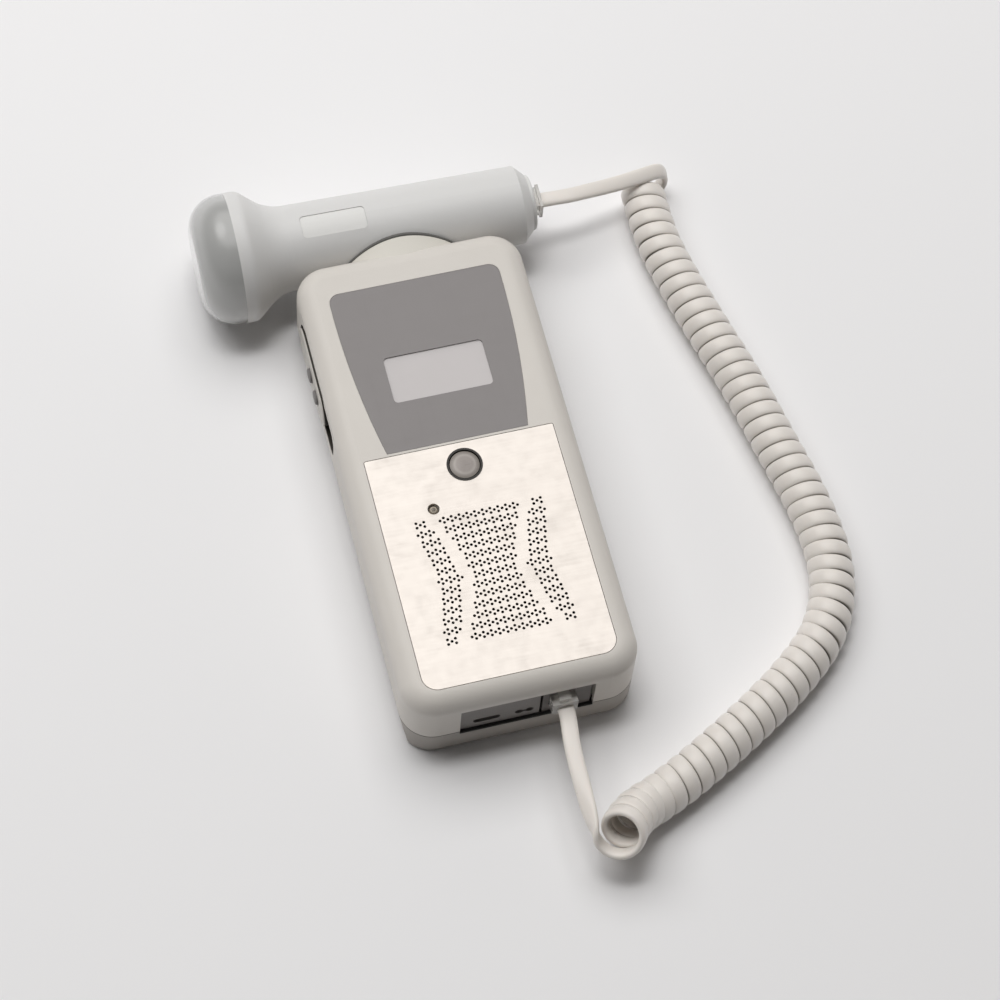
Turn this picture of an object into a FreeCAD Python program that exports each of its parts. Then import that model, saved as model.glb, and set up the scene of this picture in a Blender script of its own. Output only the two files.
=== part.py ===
"""Handheld fetal doppler monitor with its probe and curly cord.

Frame: millimetres, +Z up, the unit lying on its back. The origin is the middle of the unit's flat back,
+Y runs towards the end that carries the probe and +X to the right, seen from the front.
"""
import FreeCAD, Part
import math
import os
from types import SimpleNamespace

import Sketcher
from FreeCAD import Rotation, Vector

doc = FreeCAD.newDocument("fetal_doppler")

# ---------------------------------------------------------------------------------------------------------
# Driving dimensions
# ---------------------------------------------------------------------------------------------------------
DIMENSIONS = {
    # case
    "case_width": 70.8, "case_length": 151.0, "case_height": 32.0, "parting_height": 11.0,
    "corner_round": 10.0, "front_round": 6.0, "base_round": 1.2, "wall": 2.4,
    "rim_height": 1.5, "rim_thick": 1.0, "rim_gap": 0.15, "side_draft": 1.8, "shadow_line": 0.4,
    # front plate and its holes
    "plate_half": 28.85, "plate_low": -69.65, "plate_high": 5.85, "plate_thick": 1.0, "plate_gap": 0.2,
    "plate_low_round": 4.6, "plate_high_round": 0.5, "glue_thick": 0.15,
    "hole_radius": 0.45, "column_step": 1.173, "pair_step": 1.47, "band_step": 3.173, "grille_x": 0.14,
    "grille_y": -36.94,
    # overlay and display
    "overlay_thick": 0.4, "overlay_high": 63.2, "overlay_low": 6.9, "overlay_high_half": 26.5,
    "overlay_low_half": 21.5, "overlay_bow": 265.0, "overlay_round": 3.4,
    "lcd_half": 15.3, "lcd_low": 22.95, "lcd_high": 38.5, "lcd_round": 1.4, "pane_margin": 2.1,
    "pane_thick": 0.95, "module_half": 19.0, "module_low": 17.5, "module_high": 44.0, "module_height": 7.7,
    # power button, lamp and speaker
    "button_y": -1.5, "button_radius": 4.45, "button_proud": 0.4, "ring_radius": 5.4, "ring_hole": 4.75,
    "ring_proud": 0.15, "flange_radius": 5.9, "flange_thick": 1.0,
    "led_x": -12.5, "led_y": -13.7, "led_radius": 1.5,
    "speaker_y": -37.0, "window_half": 21.0, "speaker_radius": 20.0, "gasket_width": 2.0,
    "speaker_height": 27.6, "magnet_radius": 10.0, "magnet_low": 12.0, "magnet_high": 18.0,
    # boards
    "board_thick": 1.6, "board_height": 20.0, "board_half": 30.5, "board_low": -15.3, "board_high": 63.5,
    "jack_board_height": 9.8, "jack_board_back": -56.0,
    # side keys
    "strip_low": 27.0, "strip_high": 60.0, "strip_height": 20.2, "strip_half": 6.0, "strip_proud": 0.8,
    "strip_sink": 1.5, "strip_gap": 1.0, "pocket_low": 17.5, "pocket_high": 31.2, "pocket_round": 4.0,
    "pad_floor": 0.5, "pad_wall": 0.6, "pad_sink": 0.3, "key_half": 2.3, "key_radius": 2.0, "key_gap": 0.3,
    "key_proud": 0.8, "key_travel": 0.8, "key_up_y": 44.0, "key_down_y": 36.3, "key_lip": 0.8,
    "switch_height": 18.2,
    # connector panel and jack
    "panel_left": -19.4, "panel_right": 20.8, "panel_high": 24.8, "panel_y": -74.5, "panel_back": -72.3,
    "panel_divide": 4.7, "panel_low": 9.9, "panel_gap": 0.8, "slot_height": 13.9, "slot_x": -11.2,
    "slot_half": 4.1, "slot_radius": 1.2, "pin_hole_x": 0.1, "pin_hole_step": 3.1, "pin_hole_radius": 1.25,
    "pin_bridge": 0.5, "jack_back": -58.0, "plug_x": 11.3, "plug_z": 17.6, "plug_half_width": 3.82,
    "plug_half_height": 3.15, "plug_gap": 0.2, "plug_y": -77.9, "plug_tip": -62.5, "plug_waist": 0.35,
    "plug_end": 1.0, "latch_half": 1.7, "latch_rise": 1.6,
    # battery bay
    "cell_radius": 7.1, "cell_x": 8.0, "cell_height": 10.2, "spring_length": 2.5, "nub_length": 1.4,
    "nub_radius": 2.7, "contact_thick": 0.4, "tray_half": 16.6, "tray_low": 5.5, "tray_high": 62.5,
    "tray_wall": 1.2, "tray_base": 2.1, "tray_roof": 18.6, "tray_lip": 2.0,
    "door_half": 17.2, "door_low": 3.3, "door_high": 64.7, "door_thick": 2.0, "door_gap": 0.3,
    # fasteners
    "boss_x": 27.5, "boss_y": 67.5, "front_boss": 3.2, "rear_boss": 4.6, "screw_radius": 1.45,
    "screw_head": 2.8, "head_thick": 2.0, "head_seat": 6.4, "screw_length": 12.0,
    "board_boss_x": 26.5, "board_boss_low": -9.0, "board_boss_high": 59.5, "board_boss": 2.6,
    "small_screw": 1.1, "small_head": 2.0, "small_thick": 1.3, "small_length": 6.0,
    # probe, along its own axis from the middle of the case's width
    "probe_y": 88.58, "probe_height": 20.8, "probe_turn": 0.54, "handle_radius": 12.25,
    "neck_radius": 13.25, "head_radius": 20.3, "face_x": -62.2, "face_round": 10.5, "seam_x": -50.0,
    "flare_x": -46.15, "flare_round": 3.5, "neck_x": -37.6, "neck_round": 14.0, "shoulder_x": 40.2,
    "shoulder_cut": 3.0, "probe_wall": 2.0, "tail_wall": 2.6, "tail_x": 44.5, "tail_radius": 8.7,
    "tail_bore": 7.6, "socket_x": 24.0, "socket_half": 5.3, "probe_plug_tip": 27.0, "lead_x": 47.4,
    "crystal_radius": 10.0, "backing_radius": 10.5, "label_low": -28.9, "label_high": -8.9,
    "label_half": 3.6, "label_shift": -1.2, "label_thick": 0.15, "label_sink": 0.35,
    # cradle
    "cradle_x": 0.0, "cradle_half": 19.0, "cradle_rise": 10.0, "cradle_inner": 13.6, "cradle_back": 73.0,
    "liner_inner": 13.2, "liner_margin": 0.35, "cradle_screw_x": 12.0, "pad_y": 70.6, "pin_y": 71.6,
    # cord
    "lead_radius": 2.0, "coil_radius": 7.1,
}

sheet = doc.addObject("Spreadsheet::Sheet", "dims")
for row, (alias, amount) in enumerate(DIMENSIONS.items(), start=1):
    sheet.set("A%d" % row, alias)
    sheet.set("B%d" % row, str(amount))
    sheet.setAlias("B%d" % row, alias)
doc.recompute()


def formula_of(value):
    """Text of a size or number, for an expression."""
    return value.formula if isinstance(value, Size) else "(%.9g)" % value


class Size:
    """A length worked out from the sheet's cells, kept with the formula that gives it."""

    def __init__(self, formula, value):
        self.formula = formula
        self.value = value

    def __float__(self):
        return self.value

    def __add__(self, other):
        return Size("(%s + %s)" % (self.formula, formula_of(other)), self.value + float(other))

    def __sub__(self, other):
        return Size("(%s - %s)" % (self.formula, formula_of(other)), self.value - float(other))

    def __mul__(self, other):
        return Size("(%s * %s)" % (self.formula, formula_of(other)), self.value * float(other))

    def __truediv__(self, other):
        return Size("(%s / %s)" % (self.formula, formula_of(other)), self.value / float(other))

    def __rsub__(self, other):
        return Size("(%s - %s)" % (formula_of(other), self.formula), float(other) - self.value)

    def __neg__(self):
        return self * -1

    __radd__ = __add__
    __rmul__ = __mul__


d = SimpleNamespace(**{alias: Size("dims." + alias, float(amount)) for alias, amount in DIMENSIONS.items()})


def bind(item, prop, value):
    """Bind a property to a size or number."""
    item.setExpression(prop, formula_of(value))


# ---------------------------------------------------------------------------------------------------------
# Primitives and booleans
# ---------------------------------------------------------------------------------------------------------
def put(item, x, y, z):
    """Bind where an object stands."""
    for axis, value in zip("xyz", (x, y, z)):
        bind(item, "Placement.Base." + axis, value)
    return item


def box(label, x_span, y_span, z_span):
    """Box between a low and a high size on each axis."""
    item = doc.addObject("Part::Box", label)
    for prop, (low, high) in zip(("Length", "Width", "Height"), (x_span, y_span, z_span)):
        bind(item, prop, high - low)
    return put(item, x_span[0], y_span[0], z_span[0])


def cylinder(label, radius, low, high, across=(0.0, 0.0), axis="Z"):
    """Cylinder along an axis between two sizes; across is its place on the other axes, in their order."""
    item = doc.addObject("Part::Cylinder", label)
    bind(item, "Radius", radius)
    bind(item, "Height", high - low)
    item.Placement.Rotation = {"X": Rotation(Vector(0, 1, 0), 90), "Y": Rotation(Vector(1, 0, 0), -90),
                               "Z": Rotation()}[axis]
    first, second = across
    place = {"X": (low, first, second), "Y": (first, low, second), "Z": (first, second, low)}[axis]
    return put(item, *place)


def fuse(label, items):
    """Union of objects."""
    item = doc.addObject("Part::MultiFuse", label)
    item.Shapes = items
    item.Refine = True
    return item


def group(label, items):
    """Several separate solids in one object."""
    item = doc.addObject("Part::Compound", label)
    item.Links = items
    return item


def common(label, items):
    """What all the objects share."""
    item = doc.addObject("Part::MultiCommon", label)
    item.Shapes = items
    return item


def cut(label, base, tools):
    """Base without the tools."""
    item = doc.addObject("Part::Cut", label)
    item.Base = base
    item.Tool = tools[0] if len(tools) == 1 else group(label + "_tools", tools)
    item.Refine = True
    return item


def on_probe_axis(item):
    """Carry an object made along the X axis, with no placement of its own, to the probe's axis."""
    put(item, 0.0, d.probe_y, d.probe_height)
    item.Placement.Rotation = Rotation(Vector(0, 0, -1), float(d.probe_turn))
    bind(item, "Placement.Rotation.Angle", d.probe_turn)
    return item


# ---------------------------------------------------------------------------------------------------------
# Sketches and Part Design features
# ---------------------------------------------------------------------------------------------------------
def new_body(label):
    """Empty body."""
    return doc.addObject("PartDesign::Body", label)


def end_key(sketch, index, point):
    """Which end of a sketch edge lies at a point: 1 for its start and 2 for its end."""
    return 1 if sketch.Geometry[index].StartPoint.distanceToPoint(point) < 1e-4 else 2


def add_loop(sketch, points):
    """Closed run of lines and arcs with every corner bound.

    A corner is (x, y), or (x, y, radius, side) where the step to the next corner is an arc whose centre
    lies to the left of the step for side 1 and to the right for side -1. An upright step whose radius is
    None is a half circle.
    """
    first = sketch.GeometryCount
    count = len(points)
    corners = [Vector(float(point[0]), float(point[1]), 0) for point in points]
    for index, point in enumerate(points):
        start, end = corners[index], corners[(index + 1) % count]
        if len(point) == 2:
            sketch.addGeometry(Part.LineSegment(start, end), False)
            continue
        step = end - start
        left = Vector(-step.y, step.x, 0).normalize() * point[3]
        radius = step.Length / 2 if point[2] is None else float(point[2])
        centre = start + step * 0.5 + left * math.sqrt(max(0.0, radius ** 2 - step.Length ** 2 / 4))
        sketch.addGeometry(Part.Arc(start, centre - left * radius, end), False)
    for index, corner in enumerate(corners):
        edge, before = first + index, first + (index - 1) % count
        key = end_key(sketch, edge, corner)
        sketch.addConstraint(
            Sketcher.Constraint("Coincident", before, end_key(sketch, before, corner), edge, key))
        for kind, prefix, value in (("DistanceX", "x", points[index][0]),
                                    ("DistanceY", "y", points[index][1])):
            number = sketch.addConstraint(Sketcher.Constraint(kind, -1, 1, edge, key, float(value)))
            sketch.renameConstraint(number, "%s%d" % (prefix, edge))
            bind(sketch, "Constraints.%s%d" % (prefix, edge), value)
        if len(points[index]) == 2:
            continue
        if points[index][2] is None:
            sketch.addConstraint(Sketcher.Constraint("Vertical", edge, 3, edge, key))
        else:
            number = sketch.addConstraint(Sketcher.Constraint("Radius", edge, float(points[index][2])))
            sketch.renameConstraint(number, "radius%d" % edge)
            bind(sketch, "Constraints.radius%d" % edge, points[index][2])


def add_circle(sketch, x, y, radius):
    """Circle with its centre and radius bound."""
    edge = sketch.GeometryCount
    sketch.addGeometry(Part.Circle(Vector(float(x), float(y), 0), Vector(0, 0, 1), float(radius)), False)
    for kind, prefix, value in (("DistanceX", "x", x), ("DistanceY", "y", y)):
        number = sketch.addConstraint(Sketcher.Constraint(kind, -1, 1, edge, 3, float(value)))
        sketch.renameConstraint(number, "%s%d" % (prefix, edge))
        bind(sketch, "Constraints.%s%d" % (prefix, edge), value)
    number = sketch.addConstraint(Sketcher.Constraint("Radius", edge, float(radius)))
    sketch.renameConstraint(number, "radius%d" % edge)
    bind(sketch, "Constraints.radius%d" % edge, radius)


def sketch_on(body, loops=(), circles=(), plane="XY_Plane", lift=0.0):
    """Sketch on an origin plane of the body, lifted off it along the plane's normal."""
    sketch = body.newObject("Sketcher::SketchObject", body.Label + "_sketch")
    support = next(feature for feature in body.Origin.OriginFeatures if feature.Role == plane)
    sketch.AttachmentSupport = [(support, "")]
    sketch.MapMode = "FlatFace"
    bind(sketch, "AttachmentOffset.Base.z", lift)
    for points in loops:
        add_loop(sketch, points)
    for circle in circles:
        add_circle(sketch, *circle)
    return sketch


def rectangle(x_span, y_span):
    """Corners of a rectangle."""
    return [(x_span[0], y_span[0]), (x_span[1], y_span[0]), (x_span[1], y_span[1]), (x_span[0], y_span[1])]


def rounded(x_span, y_span, low_round, high_round=None):
    """Corners of a rectangle whose two low and two high corners are rounded."""
    (x0, x1), (y0, y1) = x_span, y_span
    high_round = low_round if high_round is None else high_round
    return [(x0 + low_round, y0), (x1 - low_round, y0, low_round, 1), (x1, y0 + low_round),
            (x1, y1 - high_round, high_round, 1), (x1 - high_round, y1),
            (x0 + high_round, y1, high_round, 1),
            (x0, y1 - high_round), (x0, y0 + low_round, low_round, 1)]


def stadium(x_span, y_middle, radius):
    """Corners of a slot with round ends, along the sketch's first axis."""
    x0, x1 = x_span
    return [(x0 + radius, y_middle - radius), (x1 - radius, y_middle - radius, None, 1),
            (x1 - radius, y_middle + radius), (x0 + radius, y_middle + radius, None, 1)]


def pad(body, sketch, length):
    """Solid grown from a sketch along its normal."""
    feature = body.newObject("PartDesign::Pad", body.Label + "_pad")
    feature.Profile = sketch
    bind(feature, "Length", length)
    return feature


def pocket(body, sketch, length):
    """Hollow cut from a sketch along its normal."""
    feature = body.newObject("PartDesign::Pocket", body.Label + "_pocket")
    feature.Profile = sketch
    feature.Reversed = True
    bind(feature, "Length", length)
    return feature


def revolve(body, sketch, axis="H_Axis"):
    """Solid of revolution about a sketch axis."""
    feature = body.newObject("PartDesign::Revolution", body.Label + "_revolution")
    feature.Profile = sketch
    feature.ReferenceAxis = (sketch, [axis])
    feature.Angle = 360
    return feature


def fillet(body, radius, test):
    """Round the edges of the body so far whose middle point passes the test."""
    doc.recompute()
    base = body.Tip
    names = []
    for number, edge in enumerate(base.Shape.Edges, start=1):
        if test(edge.valueAt((edge.FirstParameter + edge.LastParameter) / 2)):
            names.append("Edge%d" % number)
    feature = body.newObject("PartDesign::Fillet", body.Label + "_fillet")
    feature.Base = (base, names)
    bind(feature, "Radius", radius)
    return feature


def near(value, target):
    """Whether two lengths agree."""
    return abs(value - float(target)) < 0.02


# ---------------------------------------------------------------------------------------------------------
# Places that several pieces share
# ---------------------------------------------------------------------------------------------------------
HALF = d.case_width / 2
END = d.case_length / 2
CEILING = d.case_height - d.wall
PLATE_SEAT = d.case_height - d.plate_thick - d.glue_thick
BOARD_TOP = d.board_height + d.board_thick
JACK_BASE = d.jack_board_height + d.board_thick
CASE_CORNERS = [(d.boss_x * side, d.boss_y * end) for side in (-1, 1) for end in (-1, 1)]
BOARD_CORNERS = [(d.board_boss_x * side, y) for side in (-1, 1)
                 for y in (d.board_boss_low, d.board_boss_high)]
KEY_PLACES = {"up": d.key_up_y, "down": d.key_down_y}
STRIP_FLOOR = -HALF + d.strip_sink + d.pad_floor
TAIL_SEAT = d.shoulder_x + d.shoulder_cut
CRADLE_SCREW_PLACES = [d.cradle_x - d.cradle_screw_x, d.cradle_x + d.cradle_screw_x]


def case_plan(inset):
    """Case outline moved inwards."""
    return rounded((inset - HALF, HALF - inset), (inset - END, END - inset), d.corner_round - inset)


# ---------------------------------------------------------------------------------------------------------
# Case
# ---------------------------------------------------------------------------------------------------------
def rear_shell():
    """Tray-shaped back with a shadow line and a tongue at its rim, screw posts and the battery opening."""
    body = new_body("rear_tray")
    pad(body, sketch_on(body, [case_plan(0.0)]), d.parting_height)
    wedges = [[(side * (HALF - d.side_draft), 0.0), (side * HALF, d.parting_height),
               (side * (HALF + 1.0), d.parting_height), (side * (HALF + 1.0), 0.0)] for side in (-1, 1)]
    pocket(body, sketch_on(body, wedges, plane="XZ_Plane", lift=-END), d.case_length)
    fillet(body, d.base_round, lambda middle: near(middle.z, 0))
    line_loops = [case_plan(-2.0), case_plan(d.shadow_line)]
    pocket(body, sketch_on(body, line_loops, lift=d.parting_height - d.shadow_line), d.shadow_line)
    inset = d.wall - d.rim_thick
    pad(body, sketch_on(body, [case_plan(inset)], lift=d.parting_height), d.rim_height)
    pocket(body, sketch_on(body, [case_plan(d.wall)], lift=d.parting_height / 2), d.case_height)
    floor_half = HALF - d.wall - d.side_draft / 2
    floor_loop = rounded((-floor_half, floor_half), (d.wall - END, END - d.wall), d.corner_round - d.wall)
    pocket(body, sketch_on(body, [floor_loop], lift=d.wall), d.case_height)
    opening = d.door_half + d.door_gap
    opening_loop = rounded((-opening, opening), (d.door_low - d.door_gap, d.door_high), d.door_gap)
    pocket(body, sketch_on(body, [opening_loop]), d.wall)
    rating_span = (d.speaker_y - 15.0, d.speaker_y + 15.0)
    rating_loop = rounded((-d.door_half, d.door_half), rating_span, d.base_round)
    pocket(body, sketch_on(body, [rating_loop]), d.plate_gap * 2)
    posts = [cylinder("rear_post", d.rear_boss, d.wall, d.parting_height, place) for place in CASE_CORNERS]
    post_y = d.jack_board_back - 3.0
    posts += [cylinder("jack_board_post", d.board_boss, d.wall, d.jack_board_height, (x, post_y))
              for x in (d.panel_left + 3.0, d.panel_right - 3.0)]
    wells = [cylinder("screw_well", d.screw_head + 0.2, 0.0, d.head_seat, place) for place in CASE_CORNERS]
    wells += [cylinder("screw_way", d.screw_radius + d.plate_gap, 0.0, d.parting_height, place)
              for place in CASE_CORNERS]
    notch = box("rim_notch", (d.panel_left - 2.0, d.panel_right + 2.0), (-END, d.panel_back + 3.0),
                (d.parting_height, d.case_height / 2))
    sill = box("connector_sill", (d.panel_left, d.panel_right), (-END - 1.0, d.wall - END),
               (d.panel_low - d.panel_gap, d.case_height / 2))
    return cut("rear_shell", fuse("rear_shell_solid", [body] + posts), wells + [notch, sill])


def overlay_loop(margin):
    """Outline of the front overlay: straight ends and bowed sides, grown by a margin."""
    high, low = d.overlay_high_half + margin, d.overlay_low_half + margin
    top, bottom = d.overlay_high + margin, d.overlay_low - margin
    corner = d.overlay_round
    return [(-low, bottom), (low, bottom, d.overlay_bow, 1), (high, top - corner, corner, 1),
            (high - corner, top), (corner - high, top, corner, 1), (-high, top - corner, d.overlay_bow, 1)]


def plate_loop(margin):
    """Outline of the speaker plate, grown by a margin."""
    half = d.plate_half + margin
    return rounded((-half, half), (d.plate_low - margin, d.plate_high + margin),
                   d.plate_low_round + margin, d.plate_high_round + margin)


def front_shell():
    """Deep front half with the recesses of its front, the key and connector openings and its bosses."""
    body = new_body("front_cup")
    pad(body, sketch_on(body, [case_plan(0.0)], lift=d.parting_height), d.case_height - d.parting_height)
    fillet(body, d.front_round, lambda middle: near(middle.z, d.case_height))
    pocket(body, sketch_on(body, [case_plan(d.wall)], lift=d.parting_height), CEILING - d.parting_height)
    fillet(body, d.front_round - d.wall - 0.1, lambda middle: near(middle.z, CEILING))
    rebate = d.wall - d.rim_thick - d.rim_gap
    pocket(body, sketch_on(body, [case_plan(rebate)], lift=d.parting_height), d.rim_height + d.rim_gap)
    pocket(body, sketch_on(body, [plate_loop(d.plate_gap)], lift=PLATE_SEAT), d.wall)
    window_span = (d.speaker_y - d.window_half, d.speaker_y + d.window_half)
    window = rectangle((-d.window_half, d.window_half), window_span)
    holes = [(0.0, d.button_y, d.ring_radius - 0.4), (d.led_x, d.led_y, d.led_radius + 0.2)]
    pocket(body, sketch_on(body, [window], holes, lift=CEILING - 1.0), d.wall)
    overlay_seat = d.case_height - d.overlay_thick
    pocket(body, sketch_on(body, [overlay_loop(0.1)], lift=overlay_seat), d.wall)
    pane_half = d.lcd_half + d.pane_margin
    pane_span = (d.lcd_low - d.pane_margin, d.lcd_high + d.pane_margin)
    pane = rounded((-pane_half, pane_half), pane_span, d.lcd_round)
    pocket(body, sketch_on(body, [pane], lift=overlay_seat - d.pane_thick), d.wall)
    sight = rectangle((-d.lcd_half - 1.0, d.lcd_half + 1.0), (d.lcd_low - 1.0, d.lcd_high + 1.0))
    pocket(body, sketch_on(body, [sight], lift=CEILING - 1.0), d.wall)

    added = [cylinder("front_post", d.front_boss, d.parting_height, CEILING + 0.5, place)
             for place in CASE_CORNERS]
    added += [cylinder("board_post", d.board_boss, BOARD_TOP, CEILING + 0.5, place)
              for place in BOARD_CORNERS]
    pad_half = d.cradle_half + 2.0
    added += [box("cradle_pad", (d.cradle_x - pad_half, d.cradle_x + pad_half),
                  (d.pad_y, END - d.wall + 0.2), (d.parting_height + 2.0, CEILING + 0.2))]
    removed = [cylinder("case_pilot", d.screw_radius, d.parting_height, d.head_seat + d.screw_length, place)
               for place in CASE_CORNERS]
    removed += [cylinder("board_pilot", d.small_screw, BOARD_TOP, d.board_height + d.small_length, place)
                for place in BOARD_CORNERS]
    removed += [box("connector_notch", (d.panel_left, d.panel_right), (-END - 1.0, -END + d.wall + 0.5),
                    (d.parting_height, d.panel_high))]
    removed += [cylinder("cradle_pin_hole", d.small_screw * 2 + 0.3, d.pin_y, END, (x, d.probe_height), "Y")
                for x in CRADLE_SCREW_PLACES]
    removed += [cylinder("cradle_screw_hole", d.small_screw + 0.1, d.pad_y, END, (x, d.probe_height), "Y")
                for x in CRADLE_SCREW_PLACES]
    removed += [cradle_block("cradle_bed", 0.1), liner_bed()]
    removed += key_openings()
    return cut("front_shell", fuse("front_shell_solid", [body] + added), removed)


def hollow_outline(margin):
    """Outline of the hollow beyond the key strip's end, round at its far end, drawn in by a margin."""
    low, high = d.pocket_low + margin, d.pocket_high - margin
    bottom, top = d.strip_height - d.strip_half + margin, d.strip_height + d.strip_half - margin
    corner = d.pocket_round - margin
    return [(low + corner, bottom), (high, bottom), (high, top), (low + corner, top, corner, 1),
            (low, top - corner), (low, bottom + corner, corner, 1)]


def key_openings():
    """Recess of the key strip, the hollow beyond its end and the ways of the two keys."""
    sink, gap = d.strip_sink, d.strip_gap
    recess = new_body("strip_recess")
    recess_loop = stadium((d.strip_low - gap, d.strip_high + gap), d.strip_height, d.strip_half + gap)
    pad(recess, sketch_on(recess, [recess_loop], plane="YZ_Plane", lift=-HALF - 1.0), sink + 1.0)
    hollow = new_body("strip_hollow")
    pad(hollow, sketch_on(hollow, [hollow_outline(0.0)], plane="YZ_Plane", lift=-HALF - 1.0),
        sink + d.pad_floor + 1.0)
    ways = new_body("key_ways")
    loops = [stadium((y - d.key_half - d.key_gap, y + d.key_half + d.key_gap), d.strip_height,
                     d.key_radius + d.key_gap) for y in KEY_PLACES.values()]
    pad(ways, sketch_on(ways, loops, plane="YZ_Plane", lift=-HALF), d.wall + 1.0)
    return [recess, hollow, ways]


def battery_door():
    """Flat door with a rounded hinge edge and finger grooves at its free end."""
    hinge_y = d.door_low + d.door_thick / 2
    slab = box("door_slab", (-d.door_half, d.door_half), (hinge_y, d.door_high - d.door_gap),
               (0.0, d.door_thick))
    edge = cylinder("door_edge", d.door_thick / 2, -d.door_half, d.door_half, (hinge_y, d.door_thick / 2),
                    "X")
    grooves = [box("door_groove", (-d.door_half / 2, d.door_half / 2),
                   (d.door_high - 5.0 - 2.0 * step, d.door_high - 4.0 - 2.0 * step),
                   (0.0, d.door_thick / 4))
               for step in range(4)]
    return cut("battery_door", fuse("door_solid", [slab, edge]), grooves)


def rating_plate():
    """Blank plate let into the back."""
    body = new_body("rating_plate")
    inset = d.plate_gap
    loop = rounded((inset - d.door_half, d.door_half - inset),
                   (d.speaker_y - 15.0 + inset, d.speaker_y + 15.0 - inset), d.base_round)
    pad(body, sketch_on(body, [loop], lift=0.1), d.plate_gap * 2 - 0.1)
    return body


def screw(label, radius, head, head_thick, length):
    """Round-headed screw along +Z with a crossed slot, its shank starting at the origin."""
    solid = fuse(label + "_solid", [cylinder(label + "_shank", radius, 0.0, length),
                                    cylinder(label + "_head", head, -head_thick, 0.0)])
    blades = [box(label + "_slot", (-head * long / 2, head * long / 2), (-head * wide / 2, head * wide / 2),
                  (-head_thick, -head_thick / 2)) for long, wide in ((1.2, 0.3), (0.3, 1.2))]
    return cut(label, solid, blades)


def screws(label, sizes, places, z, along=None):
    """Group of equal screws, pointing along +Z unless a turn is given."""
    items = []
    for x, y in places:
        item = screw(label + "_each", *sizes)
        put(item, x, y, z)
        if along is not None:
            item.Placement.Rotation = along
        items.append(item)
    return group(label, items)


def case_screws():
    """Four screws that hold the two shells together."""
    return screws("case_screws", (d.screw_radius, d.screw_head, d.head_thick, d.screw_length), CASE_CORNERS,
                  d.head_seat)


def board_screws():
    """Four screws that hold the main board to the front shell."""
    sizes = (d.small_screw, d.small_head, d.small_thick, d.small_length)
    return screws("board_screws", sizes, BOARD_CORNERS, d.board_height)


def cradle_screws():
    """Two screws that hold the cradle from inside the front shell."""
    places = [(x, d.pad_y) for x in CRADLE_SCREW_PLACES]
    sizes = (d.small_screw, d.small_head, d.small_thick, d.small_length - 2.4)
    return screws("cradle_screws", sizes, places, d.probe_height, Rotation(Vector(1, 0, 0), -90))


# ---------------------------------------------------------------------------------------------------------
# Front
# ---------------------------------------------------------------------------------------------------------
def front_overlay():
    """Thin label over the display end, with the display's window cut out."""
    body = new_body("front_overlay")
    window = rounded((-d.lcd_half, d.lcd_half), (d.lcd_low, d.lcd_high), d.lcd_round)
    sketch = sketch_on(body, [overlay_loop(0.0), window], lift=d.case_height - d.overlay_thick)
    pad(body, sketch, d.overlay_thick)
    return body


def display_window():
    """Clear pane under the overlay."""
    body = new_body("display_window")
    half = d.lcd_half + d.pane_margin - 0.1
    span = (d.lcd_low - d.pane_margin + 0.1, d.lcd_high + d.pane_margin - 0.1)
    sketch = sketch_on(body, [rounded((-half, half), span, d.lcd_round)],
                       lift=d.case_height - d.overlay_thick - d.pane_thick)
    pad(body, sketch, d.pane_thick)
    return body


def display_module():
    """Liquid crystal module on the main board."""
    return box("display_module", (-d.module_half, d.module_half), (d.module_low, d.module_high),
               (BOARD_TOP, BOARD_TOP + d.module_height))


# Bands of plate holes from the outermost to the middle one. Each has how many columns the centre block
# reaches to a side, whether its even columns hold the pairs, and the first column's place, the number of
# columns and whether the end columns hold pairs in the group beside the block.
GRILLE_BANDS = [(10, False, 16.5, 3, True), (9, False, 14.45, 5, False), (8, False, 13.6, 5, True),
                (7, False, 12.85, 5, True), (6, True, 12.2, 5, True), (6, False, 11.55, 5, True),
                (5, False, 9.85, 7, False)]


def grille_places():
    """Centres of the plate's holes: bands whose columns hold a single hole and a pair by turns.

    The centre block narrows to a waist and widens again, and a group of columns leans along each side.
    """
    step, pair = float(d.column_step), float(d.pair_step) / 2
    middle = len(GRILLE_BANDS) - 1
    places = []
    for row in range(-middle, middle + 1):
        reach, even_pairs, start, count, end_pairs = GRILLE_BANDS[middle - abs(row)]
        columns = [(column * step, (column % 2 == 0) == even_pairs) for column in range(-reach, reach + 1)]
        for column in range(count):
            place = start + column * step
            columns += [(side * place, (column % 2 == 0) == end_pairs) for side in (-1, 1)]
        y = float(d.grille_y) + row * float(d.band_step)
        for x, paired in columns:
            offsets = (-pair, pair) if paired else (0.0,)
            places += [(float(d.grille_x) + x, y + offset) for offset in offsets]
    return places


def speaker_plate():
    """Flush front plate, with its perforations and the holes of the button ring and the lamp."""
    body = new_body("plate_blank")
    circles = [(0.0, d.button_y, d.ring_radius), (d.led_x, d.led_y, d.led_radius + 0.3)]
    back = d.case_height - d.plate_thick
    pad(body, sketch_on(body, [plate_loop(0.0)], circles, lift=back), d.plate_thick)
    drills = doc.addObject("Part::Feature", "perforations")
    low = float(d.case_height - d.plate_thick * 2)
    drills.Shape = Part.makeCompound([
        Part.makeCylinder(float(d.hole_radius), 3 * float(d.plate_thick), Vector(x, y, low))
        for x, y in grille_places()])
    return cut("speaker_plate", body, [drills])


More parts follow.
